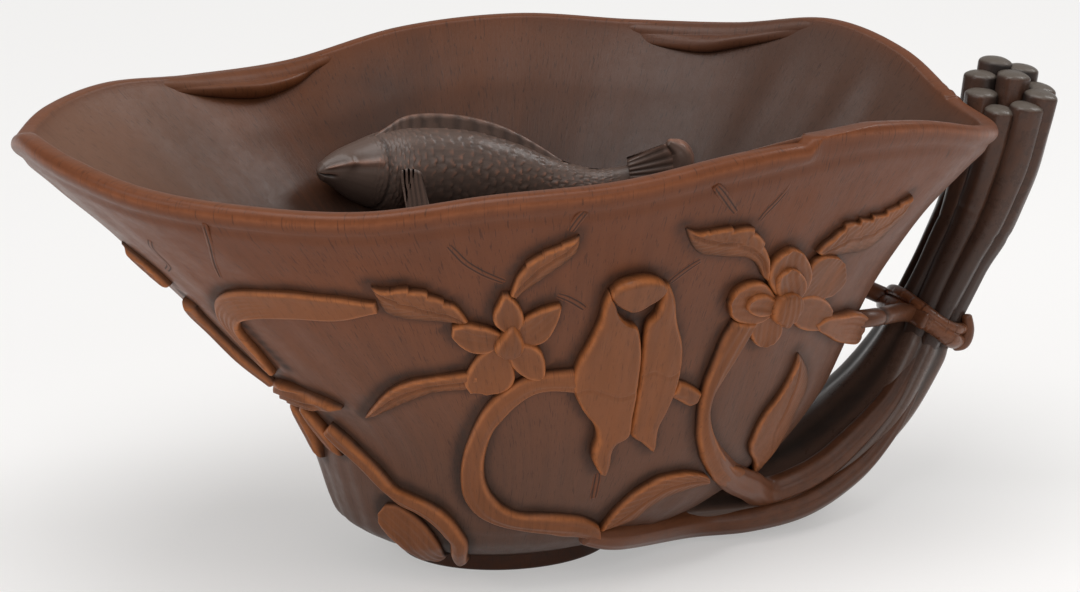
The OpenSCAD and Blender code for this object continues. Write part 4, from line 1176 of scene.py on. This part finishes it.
def carp_skin(x, y):
    phi, t = np.pi * (x + 1) + np.pi / 2, (y + 1) / 2
    t = 0.5 * t + 0.5 * t**1.2
    _, front, up = fish_frame(t)
    r = fish_half * along(body_shares, t)
    front_side, height = np.cos(phi).clip(0, 1), np.sin(phi)
    # overlapping rows of scales, uneven as they were cut by eye and worn in patches
    on = soft(t, 0.19, 0.33) * (1 - soft(t, 0.93, 0.97))
    run, girth = t * fish_length, (phi + np.pi) * 5.2
    run = run + 0.16 * np.sin(2.1 * girth + 0.7 * run) + 0.10 * np.sin(5.3 * girth - 1.9 * run)
    row = np.floor(run / scale_long)
    across = (girth / scale_wide + 0.5 * (row % 2) + 0.10 * np.sin(1.7 * row)) % 1.0 - 0.5
    scale = (run / scale_long - row) * (1 - 3.2 * across**2)
    worn = 0.55 + 0.45 * np.sin(0.9 * run + 1.3 * girth) * np.sin(0.6 * girth - 0.4 * run)
    # the head: gill cover, mouth, eye under a brow, and a ridge over the eye
    gill = np.exp(-((t - 0.275 - 0.03 * np.cos(phi)) / 0.009) ** 2) * soft(np.cos(phi), -0.2, 0.4)
    mouth = np.exp(-((height + 0.25) / 0.12) ** 2) * (1 - soft(t, 0.05, 0.09)) * front_side
    from_eye = ((t - 0.125) * fish_length) ** 2 + ((phi - 2 * np.pi - 0.55) * r) ** 2
    eye, brow = np.exp(-from_eye), np.exp(-from_eye / 1.8**2)
    ridge = np.exp(-((height - 0.42) / 0.10) ** 2) * front_side * (1 - soft(t, 0.25, 0.3)) * soft(t, 0.02, 0.06)
    lips = np.exp(-((height + 0.08) / 0.10) ** 2) * (1 - soft(t, 0.03, 0.10))
    bump = (on * worn * (0.16 * scale - 0.05) - 0.22 * gill - 0.40 * mouth + 0.40 * eye + 0.12 * brow
            + 0.30 * ridge)
    nose = np.sqrt(np.clip(t / 0.03, 0, 1))
    where = (fish_at(t) + front * ((r * 0.80 + bump) * nose * np.cos(phi))[:, None]
             + up * ((r + bump) * nose * height)[:, None])
    # painted shade where the scales overlap, in the gill and mouth and under the belly; painted glints on the
    # scales' edges, most along the upper flank; the ridge over the eye and the lips lighter as wear and painted
    # highlight
    return where, {
        "grain": np.stack([np.cos(phi), height, t * 5], -1),
        "shade_and_grime": np.clip(0.42 * on * worn * (1 - soft(scale, 0.0, 0.5)) + 0.5 * gill + mouth
                          + 0.3 * (1 - soft(height, -0.5, 0.3)), 0, 1),
        "edge": np.clip(on * soft(scale, 0.5, 0.95) * (0.25 + 0.75 * np.exp(-((height - 0.35) / 0.22) ** 2))
                        + 0.7 * ridge + 0.8 * lips, 0, 1)}


finish(bent_sheet("carved_carp", 220, 330, carp_skin), fish_horn, "horn_fish", "fish_body")


def fin_sheet(name, root, tip, wall, rays, cols=24, rows=70):
    """A thin fin between a root line and a tip line, both from head to tail, with its rays cut in."""
    root, tip = np.asarray(root, float), np.asarray(tip, float)

    def place(x, y):
        t, lift = (y + 1) / 2, 1 - np.abs(x)
        a, rise = along(root, t), along(tip, t) - along(root, t)
        n = unit(np.cross(along(root, np.minimum(t + 0.01, 1)) - along(root, np.maximum(t - 0.01, 0)), rise))
        ray = np.sin(rays * 2 * np.pi * t + 1.5 * lift)
        blunt = np.sqrt(np.clip((1 - lift) * 8, 0, 1)) * (0.4 + 0.6 * np.sin(np.pi * np.clip(t, 0.02, 0.98)) ** 0.3)
        thick = wall * (0.5 - 0.28 * lift) * blunt + 0.07 * ray * (1 - lift * 0.3) * (lift < 0.97)
        # painted shade in the grooves between the rays; paler toward the tip
        return a + rise * lift[:, None] + n * (np.sign(x) * thick)[:, None], {
            "grain": np.stack([t * 2, 0 * t, lift], -1), "shade_and_grime": 0.45 * (ray < -0.3),
            "edge": 0.08 + 0.42 * soft(lift, 0.75, 1.0)}

    return bent_sheet(name, cols, rows, place)


ts = np.linspace(0.27, 0.80, 9)
_, _, up = fish_frame(ts)
body = fish_half * along(body_shares, ts)[:, None]
fin_rise = np.array([0.1, 1.0, 1.9, 2.3, 2.3, 2.1, 1.7, 1.1, 0.2])[:, None]
fin = fin_sheet("carved_carp_back_fin", fish_at(ts) + up * body * 0.86,
                fish_at(ts) + up * (body * 0.97 + fin_rise), 1.5, 15)
finish(fin, fish_horn, "horn_fish", "fish_back_fin")


def upright(pixels, y):
    """Places of the photograph on the upright plane that lies y millimetres behind the cup's middle."""
    px = np.asarray(pixels, float)
    ray = view_right * (px[:, :1] - frame_x) + view_up * (frame_y - px[:, 1:]) - toward_eye * focal
    return eye + ray * ((y - eye[1]) / ray[:, 1])[:, None]


def roll_flute(core, phi):
    return 0.05 * np.cos(6 * phi)


# one side of the roll is lighter as a painted highlight, and the other darker as painted shade
def roll_light(core, phi, where):
    return 0.15 + 0.75 * soft(-np.cos(phi), 0.2, 0.9), 0.35 * soft(np.cos(phi), -0.4, 0.6)


tail_root_y, tail_tip_y, tail_roll_y = 26.2, 24.2, 24.4
fan = fin_sheet("tail_fan", upright([(627, 159), (628, 166), (629, 174), (630, 182)], tail_root_y),
                upright([(666, 144), (677, 158), (678, 174), (672, 192)], tail_tip_y), 3.0, 6, cols=34,
                rows=80)
roll = rod("tail_roll",
           upright([(672, 196), (679, 186), (682, 172), (682, 159), (678, 149), (669, 143)], tail_roll_y),
           1.85, roll_light, rows=90, cols=36, slim=[0.55, 0.9, 1.05, 1.05, 0.85, 0.4], cap=0.12,
           flute=roll_flute)
finish(joined("carved_carp_tail", [fan, roll]), fish_horn, "horn_fish", "fish_tail_fin")
fin_front = fish_at(0.3)[1] - fish_half * 0.74
fin = fin_sheet("carved_carp_side_fin", upright([(400, 170), (406, 168), (413, 169), (420, 172)], fin_front),
                upright([(408, 219), (415, 222), (423, 221), (431, 216)], fin_front - 1.6), 1.6, 5, cols=26,
                rows=50)
finish(fin, fish_horn, "horn_fish", "fish_side_fin")

# Dirt and old wax, with painted shadow, darken the wall close to every carved edge; the painted
# shadow lies more above and to the left of it, so the bowl's hollows are marked by how near they are
# to one. Painted shade also lies in a few deep corners and low down by the foot.


def tree_of(places):
    tree = kdtree.KDTree(len(places))
    for k, p in enumerate(places):
        tree.insert(p, k)
    tree.balance()
    return tree


edge_tree = tree_of(outlines)
corner_tree = tree_of([outside(turn, level) for turn, level in spots(
    [(620, 309), (628, 314), (636, 318), (644, 319), (652, 313), (656, 305), (640, 326), (639, 340),
     (238, 318), (246, 326), (254, 334), (262, 342), (270, 350), (278, 358), (286, 366),
     (410, 506), (422, 511), (433, 520), (441, 530), (448, 542)])])
on_bowl = points_of(bowl) / MM
inner_side = np.empty(len(on_bowl))
bowl.data.attributes["within"].data.foreach_get("value", inner_side)
dirt_and_shade = 0.45 * (1 - soft(on_bowl[:, 2], 2, 14)) * (inner_side < 0.5)
for k in np.flatnonzero(inner_side < 0.5):
    edge_spot, _, gap = edge_tree.find(on_bowl[k])
    away = on_bowl[k] - edge_spot
    side = 0.75 * away[2] - 0.5 * away[0] * (-1 if edge_spot[1] > 0 else 1)
    side = min(max(side / max(gap, 0.3), -1), 1)
    by_edge = min(1.25 * math.exp(-(max(gap - 0.9, 0) / (0.80 + 0.48 * side)) ** 2), 1) * (0.62 + 0.36 * side)
    dirt_and_shade[k] += max(by_edge, math.exp(-(corner_tree.find(on_bowl[k])[2] / 1.25) ** 2))
put_marks(bowl, {"shade_and_grime": np.clip(dirt_and_shade, 0, 1)})

# A pale sweep to stand on. It is white far away and keeps the cup's soft shadow.


def mix_in(share, first, second, output):
    """Shows the second shader in place of the first where the share is 1."""
    mixed = nodes.new("ShaderNodeMixShader")
    for source, socket in ((share, "Fac"), (first, 1), (second, 2)):
        wires.new(source, mixed.inputs[socket])
    wires.new(mixed.outputs["Shader"], nodes[output].inputs["Surface"])


bpy.ops.object.select_all(action="DESELECT")
bpy.ops.mesh.primitive_plane_add(size=40)
floor = bpy.context.object
floor.name = floor.data.name = "pale_sweep"
paper = bpy.data.materials.new("pale_paper")
paper.use_nodes = True
nodes, wires = paper.node_tree.nodes, paper.node_tree.links
matt = nodes["Principled BSDF"]
matt.inputs["Base Color"].default_value = (0.90, 0.885, 0.875, 1)
matt.inputs["Roughness"].default_value = 0.9
glow = nodes.new("ShaderNodeEmission")
glow.inputs["Color"].default_value = (0.93, 0.925, 0.915, 1)
parts = nodes.new("ShaderNodeSeparateXYZ")
wires.new(nodes.new("ShaderNodeTexCoord").outputs["Object"], parts.inputs["Vector"])
far = nodes.new("ShaderNodeMapRange")
far.inputs["From Min"].default_value, far.inputs["From Max"].default_value = -0.12, 0.75
far.inputs["To Min"].default_value, far.inputs["To Max"].default_value = 0.34, 0.94
wires.new(parts.outputs["Y"], far.inputs["Value"])
# only what the eye sees, directly or in a gloss, is whitened
path_kind = nodes.new("ShaderNodeLightPath")
share = path_kind.outputs["Is Camera Ray"]
for kind, other in (("MAXIMUM", path_kind.outputs["Is Glossy Ray"]),
                    ("MAXIMUM", path_kind.outputs["Is Transmission Ray"]),
                    ("MULTIPLY", far.outputs["Result"])):
    step = nodes.new("ShaderNodeMath")
    step.operation = kind
    wires.new(share, step.inputs[0])
    wires.new(other, step.inputs[1])
    share = step.outputs["Value"]
mix_in(share, matt.outputs["BSDF"], glow.outputs["Emission"], "Material Output")
floor.data.materials.append(paper)

# Plain soft light: a bright room all round, a broad box over the cup and one in front of
# it, and a smaller one at its left and at its right.
world = bpy.context.scene.world or bpy.data.worlds.new("room")
bpy.context.scene.world = world
world.use_nodes = True
nodes, wires = world.node_tree.nodes, world.node_tree.links
room = nodes["Background"]
room.inputs["Color"].default_value = (1.0, 0.995, 0.985, 1)
room.inputs["Strength"].default_value = 0.34
white = nodes.new("ShaderNodeBackground")
white.inputs["Color"].default_value = (0.93, 0.93, 0.92, 1)
path_kind = nodes.new("ShaderNodeLightPath")
mix_in(path_kind.outputs["Is Camera Ray"], room.outputs["Background"], white.outputs["Background"],
       "World Output")
for name, spot, size, power in (("soft_box_over", (-0.10, -0.15, 0.75), 0.55, 3.8),
                                ("soft_box_left", (-0.75, -0.20, 0.45), 0.40, 1.5),
                                ("soft_box_right", (0.62, 0.05, 0.62), 0.32, 1.9),
                                ("soft_box_front", (0.15, -0.95, 0.55), 0.55, 1.7)):
    bpy.ops.object.light_add(type="AREA", location=spot)
    lamp = bpy.context.object
    lamp.name = name
    lamp.data.shape, lamp.data.size, lamp.data.energy = "SQUARE", size, power
    lamp.rotation_euler = (Vector((0, 0, 0.04)) - Vector(spot)).to_track_quat("-Z", "Y").to_euler()
bpy.context.scene.view_settings.view_transform = "Standard"
